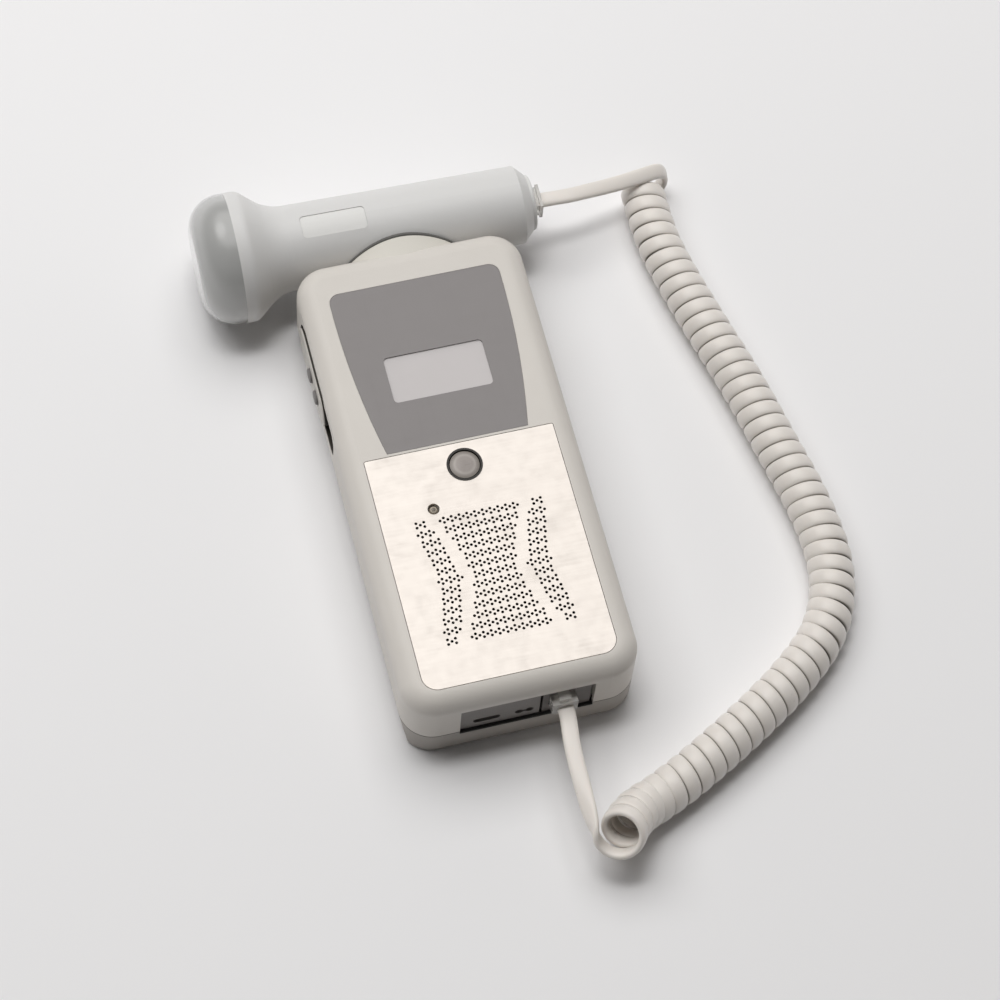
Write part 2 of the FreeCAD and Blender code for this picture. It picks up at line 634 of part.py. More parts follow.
def power_button():
    """Round button with a crowned top, a lip under the front and a stem down to its switch."""
    body = new_body("power_button")
    top = d.case_height + d.button_proud
    lip_top = CEILING - d.key_gap
    rise = 0.6
    crown = (d.button_radius * d.button_radius + rise * rise) / (2 * rise)
    stem = d.button_radius / 3
    foot = BOARD_TOP + 5.2
    lip_low = lip_top - d.flange_thick
    loop = [(0.0, foot), (stem, foot), (stem, lip_low), (d.flange_radius, lip_low),
            (d.flange_radius, lip_top), (d.button_radius, lip_top), (d.button_radius, top - rise, crown, 1),
            (0.0, top)]
    revolve(body, sketch_on(body, [loop], plane="XZ_Plane"), "V_Axis")
    put(body, 0.0, d.button_y, 0.0)
    return body


def button_ring():
    """Bezel ring round the power button."""
    body = new_body("button_ring")
    circles = [(0.0, d.button_y, d.ring_radius), (0.0, d.button_y, d.ring_hole)]
    pad(body, sketch_on(body, [], circles, lift=PLATE_SEAT), d.case_height + d.ring_proud - PLATE_SEAT)
    return body


def button_switch():
    """Push switch under the power button."""
    case = box("push_switch_case", (-3.0, 3.0), (d.button_y - 3.0, d.button_y + 3.0),
               (BOARD_TOP, BOARD_TOP + 3.5))
    plunger = cylinder("push_switch_plunger", 1.2, BOARD_TOP + 3.5, BOARD_TOP + 4.3, (0.0, d.button_y))
    return fuse("button_switch", [case, plunger])


def status_led():
    """Round-topped lamp that stands on the main board and fills its hole."""
    body = new_body("status_led")
    top = d.case_height - 0.1
    loop = [(0.0, BOARD_TOP), (d.led_radius, BOARD_TOP),
            (d.led_radius, top - d.led_radius, d.led_radius, 1), (0.0, top)]
    revolve(body, sketch_on(body, [loop], plane="XZ_Plane"), "V_Axis")
    put(body, d.led_x, d.led_y, 0.0)
    return body


def speaker():
    """Pressed basket and magnet of the loudspeaker."""
    body = new_body("speaker")
    rim_low = d.speaker_height
    rim_high = rim_low + 0.8
    throat = d.magnet_radius + 1.0
    rim_inner = d.speaker_radius - d.gasket_width
    loop = [(0.0, d.magnet_low), (d.magnet_radius, d.magnet_low), (d.magnet_radius, d.magnet_high),
            (throat, d.magnet_high), (rim_inner, rim_low), (d.speaker_radius, rim_low),
            (d.speaker_radius, rim_high), (rim_inner - 0.6, rim_high), (throat - 1.0, d.magnet_high + 1.0),
            (0.0, d.magnet_high + 1.0)]
    revolve(body, sketch_on(body, [loop], plane="XZ_Plane"), "V_Axis")
    put(body, 0.0, d.speaker_y, 0.0)
    return body


def speaker_cone():
    """Paper cone with its dust cap."""
    body = new_body("speaker_cone")
    rim = d.speaker_radius - d.gasket_width - 2.0
    top = d.speaker_height + 0.8
    low = d.magnet_high + 1.4
    cap = d.magnet_radius / 2
    loop = [(0.0, low + 1.5), (cap, low), (cap + 1.0, low), (rim, top - 0.8), (rim + 0.5, top - 0.8),
            (rim + 0.5, top - 0.4), (rim - 0.2, top - 0.4), (cap + 0.6, low + 0.6), (cap, low + 0.6),
            (0.0, low + 2.1)]
    revolve(body, sketch_on(body, [loop], plane="XZ_Plane"), "V_Axis")
    put(body, 0.0, d.speaker_y, 0.0)
    return body


def speaker_gasket():
    """Foam ring between the loudspeaker and the plate."""
    place = (0.0, d.speaker_y)
    low = d.speaker_height + 0.8
    outer = cylinder("gasket_outer", d.speaker_radius, low, d.case_height - d.plate_thick, place)
    inner = cylinder("gasket_inner", d.speaker_radius - d.gasket_width, low, d.case_height, place)
    return cut("speaker_gasket", outer, [inner])


# ---------------------------------------------------------------------------------------------------------
# Boards and sockets
# ---------------------------------------------------------------------------------------------------------
def main_board():
    """Circuit board under the front, with a hole for each of its screws."""
    blank = box("board_blank", (-d.board_half, d.board_half), (d.board_low, d.board_high),
                (d.board_height, BOARD_TOP))
    holes = [cylinder("board_hole", d.small_screw + 0.1, d.board_height, BOARD_TOP, place)
             for place in BOARD_CORNERS]
    return cut("main_board", blank, holes)


def board_chips():
    """Packages soldered under the main board."""
    places = [(-9.0, 18.0, 5.0), (8.0, 22.0, 4.0), (6.0, 44.0, 3.5), (-22.0, 8.0, 3.0)]
    return group("board_chips", [
        box("chip", (x - half, x + half), (y - half, y + half), (d.board_height - 1.1, d.board_height))
        for x, y, half in places])


def jack_board():
    """Small board that carries the sockets."""
    return box("jack_board", (d.panel_left + 0.4, d.panel_right - 0.4), (d.panel_back, d.jack_board_back),
               (d.jack_board_height, JACK_BASE))


def board_ribbon():
    """Flat cable from the socket board to the main board."""
    body = new_body("board_ribbon")
    near_end, far_end = d.jack_board_back, d.board_low
    thick = 0.5
    underside = d.board_height - thick
    loop = [(near_end - 4.0, JACK_BASE), (near_end + 1.0, JACK_BASE), (far_end - 2.0, underside),
            (far_end + 6.0, underside), (far_end + 6.0, d.board_height), (far_end - 2.2, d.board_height),
            (near_end + 0.8, JACK_BASE + thick), (near_end - 4.0, JACK_BASE + thick)]
    pad(body, sketch_on(body, [loop], plane="YZ_Plane", lift=d.panel_left + 0.4), 5.0)
    return body


def connector_panel():
    """Dark panel beside the jack, with a long slot, two joined round holes and a lip behind the wall."""
    body = new_body("panel_blank")
    low = d.panel_low
    face = rectangle((d.panel_left + 0.3, d.panel_divide), (low, d.panel_high - 0.3))
    pad(body, sketch_on(body, [face], plane="XZ_Plane", lift=-d.panel_back), d.panel_back - d.panel_y)
    lip = rectangle((d.panel_left - 1.2, d.panel_divide), (low + 1.5, d.panel_high + 1.2))
    pad(body, sketch_on(body, [lip], plane="XZ_Plane", lift=-d.panel_back), d.panel_back + END - d.wall)
    doc.recompute()
    slot = new_body("panel_slot")
    slot_loop = stadium((d.slot_x - d.slot_half, d.slot_x + d.slot_half), d.slot_height, d.slot_radius)
    pad(slot, sketch_on(slot, [slot_loop], plane="XZ_Plane", lift=-d.panel_back), d.panel_back - d.panel_y)
    places = [d.pin_hole_x + side * d.pin_hole_step / 2 for side in (-1, 1)]
    pins = [cylinder("panel_pin_hole", d.pin_hole_radius, d.panel_y, d.panel_back, (x, d.slot_height), "Y")
            for x in places]
    bridge = box("panel_pin_bridge", tuple(places), (d.panel_y, d.panel_back),
                 (d.slot_height - d.pin_bridge, d.slot_height + d.pin_bridge))
    return cut("connector_panel", body, [slot, bridge] + pins)


def panel_seal():
    """Black foam strip on the back shell's sill, under the panel and the jack."""
    return box("panel_seal", (d.panel_left + 0.05, d.panel_right - 0.05), (0.1 - END, d.panel_back - 0.4),
               (d.panel_low - d.panel_gap, d.panel_low))


def probe_jack():
    """Modular jack block with its plug opening, the latch's notch and a skirt in front of its board."""
    width = (d.panel_divide + d.panel_gap, d.panel_right - d.panel_gap)
    block = box("jack_body", width, (d.panel_y, d.jack_back), (JACK_BASE, d.panel_high - d.panel_gap))
    skirt = box("jack_skirt", width, (d.panel_y, d.panel_back - 0.2), (d.panel_low, JACK_BASE))
    wide, tall = d.plug_half_width + d.plug_gap, d.plug_half_height + d.plug_gap
    mouth = box("jack_mouth", (d.plug_x - wide, d.plug_x + wide), (d.panel_y, d.plug_tip + d.plug_gap),
                (d.plug_z - tall, d.plug_z + tall))
    latch_half = d.latch_half + d.plug_gap
    notch = box("jack_latch_notch", (d.plug_x - latch_half, d.plug_x + latch_half),
                (d.panel_y, d.plug_tip + d.plug_gap), (d.plug_z, d.plug_z + tall + d.latch_rise + 0.5))
    return cut("probe_jack", fuse("jack_block", [block, skirt]), [mouth, notch])


def charge_socket():
    """Flat socket behind the long slot."""
    inner = d.slot_half - 0.3
    shell = box("charge_shell", (d.slot_x - 4.8, d.slot_x + 4.8), (d.panel_back, d.panel_back + 6.5),
                (JACK_BASE, d.slot_height + 2.2))
    hollow = box("charge_hollow", (d.slot_x - inner, d.slot_x + inner), (d.panel_back, d.panel_back + 5.0),
                 (d.slot_height - d.slot_radius, d.slot_height + d.slot_radius))
    return cut("charge_socket", shell, [hollow])


def audio_socket():
    """Two-pole socket behind the joined round holes."""
    shell = box("audio_shell", (d.pin_hole_x - 4.2, d.pin_hole_x + 4.2),
                (d.panel_back, d.panel_back + 10.0), (JACK_BASE, d.slot_height + 2.4))
    bores = [cylinder("audio_bore", d.pin_hole_radius, d.panel_back, d.panel_back + 7.0,
                      (d.pin_hole_x + side * d.pin_hole_step / 2, d.slot_height), "Y") for side in (-1, 1)]
    return cut("audio_socket", shell, bores)


# ---------------------------------------------------------------------------------------------------------
# Battery bay
# ---------------------------------------------------------------------------------------------------------
def battery_tray():
    """Box for two cells, open towards the door, with a lip that rests on the shell's floor."""
    half, wall = d.tray_half, d.tray_wall
    outer = box("tray_outer", (-half, half), (d.tray_low, d.tray_high), (d.tray_base, d.tray_roof))
    lip_span = (d.tray_low - d.tray_lip - 1.0, d.tray_high + d.tray_lip + 0.5)
    lip = box("tray_rest", (-half - d.tray_lip, half + d.tray_lip), lip_span, (d.wall, d.wall + wall))
    inner = box("tray_inner", (wall - half, half - wall), (d.tray_low + wall, d.tray_high - wall),
                (d.tray_base, d.tray_roof - wall))
    return cut("battery_tray", fuse("tray_solid", [outer, lip]), [inner])


def cell_span(flip):
    """Low and high end of a cell's can, its contact stud at the high end unless flipped."""
    low = d.tray_low + d.tray_wall + d.contact_thick
    high = d.tray_high - d.tray_wall - d.contact_thick
    if flip:
        return low + d.nub_length, high - d.spring_length
    return low + d.spring_length, high - d.nub_length


def battery(label, x, flip):
    """Cylindrical cell with its contact stud."""
    low, high = cell_span(flip)
    can = cylinder(label + "_can", d.cell_radius, low, high, (x, d.cell_height), "Y")
    stud_span = (low - d.nub_length, low) if flip else (high, high + d.nub_length)
    stud = cylinder(label + "_stud", d.nub_radius, *stud_span, (x, d.cell_height), "Y")
    return fuse(label, [can, stud])


def battery_springs():
    """Two tapered contact springs, each drawn as the cone that its turns fill."""
    springs = []
    for x, flip in ((-d.cell_x, False), (d.cell_x, True)):
        low, high = cell_span(flip)
        item = doc.addObject("Part::Cone", "contact_spring")
        bind(item, "Radius1", d.nub_radius if flip else d.nub_radius * 1.8)
        bind(item, "Radius2", d.nub_radius * 1.8 if flip else d.nub_radius)
        bind(item, "Height", d.spring_length)
        item.Placement.Rotation = Rotation(Vector(1, 0, 0), -90)
        springs.append(put(item, x, high if flip else low - d.spring_length, d.cell_height))
    return group("battery_springs", springs)


def battery_terminals():
    """Contact plates at the two ends of the tray."""
    low = d.tray_low + d.tray_wall
    high = d.tray_high - d.tray_wall
    width, height = (-d.cell_x - 5.0, d.cell_x + 5.0), (d.cell_height - 5.0, d.cell_height + 5.0)
    spans = [(low, low + d.contact_thick), (high - d.contact_thick, high)]
    return group("battery_terminals", [box("contact_plate", width, span, height) for span in spans])


# ---------------------------------------------------------------------------------------------------------
# Side keys
# ---------------------------------------------------------------------------------------------------------
def key_bezel():
    """Raised strip on the left wall that frames the two keys."""
    body = new_body("key_bezel")
    loops = [stadium((d.strip_low, d.strip_high), d.strip_height, d.strip_half)]
    loops += [stadium((y - d.key_half - d.key_gap, y + d.key_half + d.key_gap), d.strip_height,
                      d.key_radius + d.key_gap) for y in KEY_PLACES.values()]
    face = -HALF - d.strip_proud
    pad(body, sketch_on(body, loops, plane="YZ_Plane", lift=face), d.strip_proud + d.strip_sink)
    fillet(body, 0.5, lambda middle: near(middle.x, face) and abs(middle.z - float(d.strip_height)) > 5)
    return body


def recess_pad():
    """Black cup that lines the hollow beyond the strip's end and stops short of the strip."""
    body = new_body("recess_cup")
    face = -HALF + d.pad_sink
    pad(body, sketch_on(body, [hollow_outline(0.1)], plane="YZ_Plane", lift=face), STRIP_FLOOR - face)
    pocket(body, sketch_on(body, [hollow_outline(d.pad_wall)], plane="YZ_Plane", lift=face),
           STRIP_FLOOR - face - d.pad_floor)
    strip = new_body("recess_strip")
    loop = stadium((d.strip_low - 0.1, d.strip_high), d.strip_height, d.strip_half + 0.1)
    pad(strip, sketch_on(strip, [loop], plane="YZ_Plane", lift=-HALF), d.strip_sink)
    return cut("recess_pad", body, [strip])


def volume_key(name):
    """Key with a lip behind the case wall."""
    y = KEY_PLACES[name]
    body = new_body("volume_%s_key" % name)
    face = -HALF - d.strip_proud - d.key_proud
    lip_face = -HALF + d.wall + d.key_gap
    top = stadium((y - d.key_half, y + d.key_half), d.strip_height, d.key_radius)
    pad(body, sketch_on(body, [top], plane="YZ_Plane", lift=face), lip_face - face)
    reach = d.key_half + d.key_lip
    lip = stadium((y - reach, y + reach), d.strip_height, d.key_radius + d.key_lip)
    pad(body, sketch_on(body, [lip], plane="YZ_Plane", lift=lip_face), d.key_travel)
    fillet(body, 0.5, lambda middle: near(middle.x, face))
    return body


def key_switches():
    """Side-acting switch behind each key, under the edge of the main board."""
    switches = []
    for y in KEY_PLACES.values():
        low = d.switch_height - 1.8
        case = box("key_switch_case", (-d.board_half + 0.3, -d.board_half + 4.0), (y - 3.0, y + 3.0),
                   (low, d.board_height))
        plunger = box("key_switch_plunger", (-d.board_half - 0.5, -d.board_half + 0.3), (y - 1.2, y + 1.2),
                      (low + 0.6, d.board_height - 0.8))
        switches.append(fuse("key_switch", [case, plunger]))
    return group("key_switches", switches)


# ---------------------------------------------------------------------------------------------------------
# Cradle
# ---------------------------------------------------------------------------------------------------------
def cradle_prism(label, margin):
    """Elliptical column along Y from the cradle's back to the probe's axis."""
    ellipse = doc.addObject("Part::Ellipse", label + "_outline")
    bind(ellipse, "MajorRadius", d.cradle_half + margin)
    bind(ellipse, "MinorRadius", d.cradle_rise + margin)
    ellipse.Placement.Rotation = Rotation(Vector(1, 0, 0), 90)
    put(ellipse, d.cradle_x, d.probe_y, d.probe_height)
    prism = doc.addObject("Part::Extrusion", label)
    prism.Base = ellipse
    prism.DirMode = "Custom"
    prism.Dir = Vector(0, -1, 0)
    bind(prism, "LengthFwd", d.probe_y - d.cradle_back + margin)
    prism.Solid = True
    return prism


def cradle_block(label, margin):
    """Elliptical column whose lower part stops at the end wall's outer face."""
    foot = box(label + "_foot", (-HALF, HALF), (END - d.wall * 2, END + 0.1 - margin),
               (0.0, d.parting_height + 3.0 - margin))
    return cut(label, cradle_prism(label + "_prism", margin), [foot])


def probe_bar(label, radius):
    """Bar about the probe's axis, as wide as the case."""
    return on_probe_axis(group(label + "_round", [cylinder(label, radius, -HALF, HALF, axis="X")]))


def liner_bed():
    """Space in the end wall for the liner's ends."""
    prism = cradle_prism("liner_bed_prism", d.liner_margin + 0.1)
    return common("liner_bed", [probe_bar("liner_bed_bar", d.cradle_inner + 0.05), prism])


def probe_cradle():
    """Block on the end wall, hollowed for the handle, with a threaded pin for each screw."""
    bar = probe_bar("cradle_bar", d.cradle_inner)
    block = cut("cradle_rest", cradle_block("cradle_column", 0.0), [bar])
    reach = d.probe_y - d.cradle_inner - 0.7
    pins = [cylinder("cradle_pin", d.small_screw * 2, d.pin_y, reach, (x, d.probe_height), "Y")
            for x in CRADLE_SCREW_PLACES]
    pilots = [cylinder("cradle_pilot", d.small_screw, d.pin_y, d.pad_y + d.small_length - 2.4,
                       (x, d.probe_height), "Y") for x in CRADLE_SCREW_PLACES]
    return cut("probe_cradle", fuse("cradle_solid", [block] + pins), pilots)


def cradle_liner():
    """Dark liner of the hollow: part of a tube about the probe's axis, a little larger than the block."""
    tube_wall = cut("liner_tube", cylinder("liner_outer", d.cradle_inner, -HALF, HALF, axis="X"),
                    [cylinder("liner_inner", d.liner_inner, -HALF, HALF, axis="X")])
    return common("cradle_liner", [on_probe_axis(tube_wall), cradle_prism("liner_prism", d.liner_margin)])


# ---------------------------------------------------------------------------------------------------------
# Probe
# ---------------------------------------------------------------------------------------------------------
def handle_reach(x):
    """Outer radius of the handle at a place along its taper."""
    slope = (d.neck_radius - d.handle_radius) / (d.shoulder_x - d.neck_x)
    return d.neck_radius - slope * (x - d.neck_x)


def label_patch(label, margin, low, high):
    """Sheet between two depths below the handle's surface, with the label's outline grown by a margin."""
    ends = (d.label_low - margin, d.label_high + margin)
    ring = new_body(label + "_ring")
    loop = [(ends[0], handle_reach(ends[0]) - low), (ends[1], handle_reach(ends[1]) - low),
            (ends[1], handle_reach(ends[1]) - high), (ends[0], handle_reach(ends[0]) - high)]
    revolve(ring, sketch_on(ring, [loop], plane="XZ_Plane"))
    stamp = new_body(label + "_stamp")
    half = d.label_half + margin
    outline = rounded(ends, (d.label_shift - half, d.label_shift + half), 1.2)
    pad(stamp, sketch_on(stamp, [outline], lift=d.handle_radius / 2), d.handle_radius)
    return common(label, [ring, stamp])


def probe_housing():
    """Hollow handle, thicker towards the neck, that flares to the head; its top is sunk for the label."""
    body = new_body("probe_shell")
    inner_head, inner_handle = d.head_radius - d.probe_wall, d.handle_radius - d.probe_wall
    inner_end = TAIL_SEAT - d.tail_wall
    loop = [(d.seam_x, inner_head), (d.seam_x, d.head_radius), (d.flare_x, d.head_radius),
            (d.neck_x, d.neck_radius), (d.shoulder_x, d.handle_radius),
            (TAIL_SEAT, d.handle_radius - d.shoulder_cut), (TAIL_SEAT, d.tail_bore),
            (inner_end, d.tail_bore), (inner_end, inner_handle), (d.neck_x - 0.55, inner_handle),
            (d.flare_x - 0.55, inner_head)]
    revolve(body, sketch_on(body, [loop], plane="XZ_Plane"))
    fillet(body, d.flare_round,
           lambda middle: near(middle.x, d.flare_x) and reach_of(middle) > float(inner_head) + 1)
    fillet(body, d.neck_round,
           lambda middle: near(middle.x, d.neck_x) and reach_of(middle) > float(inner_handle) + 1)
    recess = label_patch("label_recess", 0.1, d.label_sink, -1.0)
    return on_probe_axis(cut("probe_housing", body, [recess]))


def reach_of(point):
    """Distance of a point from the X axis."""
    return math.hypot(point.y, point.z)


def probe_face_cap():
    """Cup that closes the head, with a spigot inside the housing."""
    body = new_body("probe_face_cap")
    flat = d.head_radius - d.face_round
    spigot = d.head_radius - d.probe_wall - 0.1
    bore = spigot - 1.5
    floor = d.face_x + d.probe_wall
    loop = [(d.face_x, 0.0), (floor, 0.0), (floor, flat + 1.0), (floor + 2.7, bore), (d.seam_x + 2.0, bore),
            (d.seam_x + 2.0, spigot), (d.seam_x, spigot), (d.seam_x, d.head_radius),
            (d.face_x + d.face_round, d.head_radius, d.face_round, 1), (d.face_x, flat)]
    revolve(body, sketch_on(body, [loop], plane="XZ_Plane"))
    return on_probe_axis(body)


def probe_end_cap():
    """Tail disc with the plug's opening through it."""
    body = new_body("end_cap_blank")
    inner = TAIL_SEAT - d.tail_wall + 0.2
    spigot = d.tail_bore - 0.05
    loop = [(inner, 0.0), (d.tail_x, 0.0), (d.tail_x, d.tail_radius), (TAIL_SEAT, d.tail_radius),
            (TAIL_SEAT, spigot), (inner, spigot)]
    revolve(body, sketch_on(body, [loop], plane="XZ_Plane"))
    fillet(body, 0.5, lambda middle: near(middle.x, d.tail_x))
    item = cut("probe_end_cap", body, [plug_way("end_cap_way", inner, d.tail_x)])
    return on_probe_axis(item)


def plug_way(label, low, high):
    """Clearance hole of the probe's plug."""
    wide, tall = d.plug_half_width + d.plug_gap, d.plug_half_height + d.plug_gap
    return box(label, (low, high), (-wide, wide), (-tall, tall))


def probe_socket():
    """Modular jack inside the tail."""
    half = d.socket_half
    high = TAIL_SEAT - d.tail_wall
    block = box("socket_block", (d.socket_x, high), (-half, half), (-half, half))
    way = plug_way("socket_way", d.probe_plug_tip - d.plug_gap, high)
    return on_probe_axis(cut("probe_socket", block, [way]))


def probe_plug():
    """Modular plug in the tail, waisted outside it, with a plate at its cord end."""
    wide, tall = d.plug_half_width, d.plug_half_height
    waist, plate = d.tail_x + 0.3, d.lead_x - d.plug_end
    thin, thick = d.plug_waist, d.plug_gap
    tongue = box("probe_plug_tongue", (d.probe_plug_tip, waist), (-wide, wide), (-tall, tall))
    neck = box("probe_plug_neck", (waist, plate), (thin - wide, wide - thin), (thin - tall, tall - thin))
    end = box("probe_plug_end", (plate, d.lead_x), (-wide - thick, wide + thick),
              (-tall - thick, tall + thick))
    return on_probe_axis(fuse("probe_plug", [tongue, neck, end]))


def probe_label():
    """Thin blank label on the floor of the handle's sunk patch."""
    return on_probe_axis(label_patch("probe_label", 0.0, d.label_sink, d.label_sink - d.label_thick))


def crystal(label, side):
    """Half-disc transducer element behind the face."""
    inner = d.face_x + d.probe_wall
    disc = cylinder(label + "_disc", d.crystal_radius, inner, inner + 0.6, axis="X")
    half = box(label + "_half", (inner - 1.0, inner + 2.0), (0.5, 12.0) if side > 0 else (-12.0, -0.5),
               (-12.0, 12.0))
    return on_probe_axis(common(label, [disc, half]))


def crystal_backing():
    """Damping disc behind the two elements."""
    inner = d.face_x + d.probe_wall + 0.6
    disc = cylinder("backing_disc", d.backing_radius, inner, inner + 3.4, axis="X")
    return on_probe_axis(group("crystal_backing", [disc]))


def probe_board():
    """Narrow circuit board along the handle."""
    inner = d.face_x + d.probe_wall + 4.0
    half_thick = d.board_thick / 2
    return on_probe_axis(group("probe_board", [
        box("probe_board_slab", (inner, d.socket_x), (-8.0, 8.0), (-half_thick, half_thick))]))


# ---------------------------------------------------------------------------------------------------------
# Unit's plug and the cord
# ---------------------------------------------------------------------------------------------------------
def unit_plug():
    """Modular plug in the unit's jack, with its spring latch."""
    wide, tall = d.plug_half_width, d.plug_half_height
    top = d.plug_z + tall
    tongue = box("unit_plug_tongue", (d.plug_x - wide, d.plug_x + wide), (d.plug_y, d.plug_tip),
                 (d.plug_z - tall, top))
    latch = new_body("unit_plug_latch")
    root = d.plug_tip - 1.5
    loop = [(root, top), (root - 3.0, top + 0.9), (d.plug_y + 0.6, top + d.latch_rise),
            (d.plug_y + 0.6, top + d.latch_rise - 0.7), (root - 2.6, top)]
    pad(latch, sketch_on(latch, [loop], plane="YZ_Plane", lift=d.plug_x - d.latch_half), d.latch_half * 2)
    return fuse("unit_plug", [tongue, latch])


# Routes of the cord's three stretches, each point (x, y, z)
UNIT_LEAD_ROUTE = [(11.4, -77.9, 17.4), (11.4, -82.5, 17.4), (10.3, -88.1, 17.6), (9.9, -96.0, 17.9),
                   (9.5, -103.8, 18.0), (9.1, -110.7, 18.0), (10.0, -115.6, 18.6), (14.2, -119.2, 19.3)]
COIL_ROUTE = [(17.7, -118.8, 19.5), (21.3, -114.2, 14.5), (25.9, -110.1, 9.5), (31.3, -107.9, 7.4),
              (42.0, -103.2, 7.2), (60.0, -93.6, 7.2), (80.5, -81.2, 7.2), (96.5, -67.5, 7.2),
              (103.6, -49.5, 7.2), (103.2, -28.5, 7.2), (98.8, -5.5, 7.2), (95.0, 16.5, 7.2),
              (89.6, 38.5, 7.2), (85.2, 58.0, 7.2), (82.2, 76.0, 7.2), (83.0, 91.8, 7.2)]
PROBE_LEAD_ROUTE = [(47.4, 88.133, 20.8), (52.0, 88.09, 20.8), (56.5, 88.0, 20.5), (63.2, 89.1, 19.2),
                    (70.0, 90.3, 17.6), (76.8, 91.8, 16.0), (84.0, 93.4, 14.9), (89.2, 94.7, 13.4),
                    (91.0, 95.1, 8.0)]


def rounded_path(route):
    """Wire of straight runs joined by tangent arcs, and the arcs' radii."""
    points = [Vector(*point) for point in route]
    edges, radii = [], []
    start = points[0]
    for before, corner, after in zip(points, points[1:], points[2:]):
        incoming = (corner - before).normalize()
        outgoing = (after - corner).normalize()
        half_turn = incoming.getAngle(outgoing) / 2
        setback = 0.45 * min(corner.distanceToPoint(before), corner.distanceToPoint(after))
        radius = setback / math.tan(half_turn)
        first, last = corner - incoming * setback, corner + outgoing * setback
        bisector = (outgoing - incoming).normalize()
        middle = corner + bisector * (radius / math.cos(half_turn) - radius)
        edges.append(Part.LineSegment(start, first).toShape())
        edges.append(Part.Arc(first, middle, last).toShape())
        radii.append(radius)
        start = last
    edges.append(Part.LineSegment(start, points[-1]).toShape())
    return Part.Wire(edges), radii


def tube(label, route, radius):
    """Round tube along a route."""
    path, radii = rounded_path(route)
    direction = Vector(*route[1]) - Vector(*route[0])
    profile = Part.Wire(Part.Circle(Vector(*route[0]), direction, float(radius)).toShape())
    item = doc.addObject("Part::Feature", label)
    item.Shape = path.makePipeShell([profile], True, False)
    expected = math.pi * float(radius) ** 2 * path.Length
    print("%s: length %.1f, radii %s, volume / expected %.4f"
          % (label, path.Length, " ".join("%.1f" % value for value in radii), item.Shape.Volume / expected))
    return item


def unit_lead():
    """Uncoiled cord from the unit's plug to the coil."""
    return tube("unit_lead", UNIT_LEAD_ROUTE, d.lead_radius)


def coiled_cord():
    """Outer shape of the curly stretch, raised at its start and lying beside the unit from there on."""
    return tube("coiled_cord", COIL_ROUTE, d.coil_radius)


def probe_lead():
    """Uncoiled cord from the coil up to the probe's plug."""
    return tube("probe_lead", PROBE_LEAD_ROUTE, d.lead_radius)


# ---------------------------------------------------------------------------------------------------------
# Build, test and write
# ---------------------------------------------------------------------------------------------------------
PIECES = [
    rear_shell(), front_shell(), battery_door(), rating_plate(), case_screws(), board_screws(),
    cradle_screws(), front_overlay(), display_window(), display_module(), speaker_plate(), power_button(),
    button_ring(), button_switch(), status_led(), speaker(), speaker_cone(), speaker_gasket(), main_board(),
    board_chips(), jack_board(), board_ribbon(), connector_panel(), panel_seal(), probe_jack(),
    charge_socket(), audio_socket(), battery_tray(), battery("battery_1", -d.cell_x, False),
    battery("battery_2", d.cell_x, True), battery_springs(), battery_terminals(), key_bezel(), recess_pad(),
    volume_key("up"), volume_key("down"), key_switches(), probe_cradle(), cradle_liner(), probe_housing(),
    probe_face_cap(), probe_end_cap(), probe_socket(), probe_plug(), probe_label(),
    crystal("transmit_crystal", 1), crystal("receive_crystal", -1), crystal_backing(), probe_board(),
    unit_plug(), unit_lead(), coiled_cord(), probe_lead(),
]
doc.recompute()

for item in doc.Objects:
    failed = {"Invalid", "Error"} & set(item.State)
    if failed:
        raise RuntimeError("%s is %s" % (item.Label, ", ".join(failed)))
for piece in PIECES:
    if piece.Shape.isNull() or not piece.Shape.isValid() or not piece.Shape.Solids:
        raise RuntimeError("%s has no valid solid" % piece.Label)

os.makedirs("parts", exist_ok=True)
for piece in PIECES:
    piece.Shape.exportStep("parts/%s.step" % piece.Label)
print("%d pieces written" % len(PIECES))
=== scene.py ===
"""A handheld fetal doppler monitor: its case, keys, speaker plate, sockets, probe and curly cord."""

import math

import bpy
import numpy as np
from mathutils import Matrix, Vector


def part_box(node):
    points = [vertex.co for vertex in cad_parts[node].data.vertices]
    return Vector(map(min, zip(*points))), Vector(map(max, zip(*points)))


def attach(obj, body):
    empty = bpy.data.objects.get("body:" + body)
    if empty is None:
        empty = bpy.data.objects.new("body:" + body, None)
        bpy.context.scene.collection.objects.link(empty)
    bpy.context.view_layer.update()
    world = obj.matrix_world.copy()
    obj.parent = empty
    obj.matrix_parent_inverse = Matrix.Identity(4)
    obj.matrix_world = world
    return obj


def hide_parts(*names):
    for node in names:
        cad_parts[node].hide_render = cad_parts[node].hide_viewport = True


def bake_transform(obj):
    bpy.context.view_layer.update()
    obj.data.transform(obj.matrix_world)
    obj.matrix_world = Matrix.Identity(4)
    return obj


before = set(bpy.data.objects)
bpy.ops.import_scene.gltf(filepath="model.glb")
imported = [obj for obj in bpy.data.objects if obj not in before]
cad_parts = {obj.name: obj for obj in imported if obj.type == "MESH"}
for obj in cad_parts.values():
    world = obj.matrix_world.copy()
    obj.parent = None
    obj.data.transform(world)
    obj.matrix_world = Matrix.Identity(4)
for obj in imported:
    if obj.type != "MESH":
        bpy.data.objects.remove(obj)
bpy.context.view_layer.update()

MM = 0.001
scene = bpy.context.scene

# ---------------------------------------------------------------- camera
# A long lens looks down on the table from the unit's lower left, and is rolled a little.
LENS_MM, SENSOR_MM = 113.76, 36.0
AIM = Vector((0.0126, -0.0004, 0.0))
CAMERA_DISTANCE = 0.965
TURN, TILT, ROLL = (math.radians(a) for a in (-19.84, 63.70, 5.97))

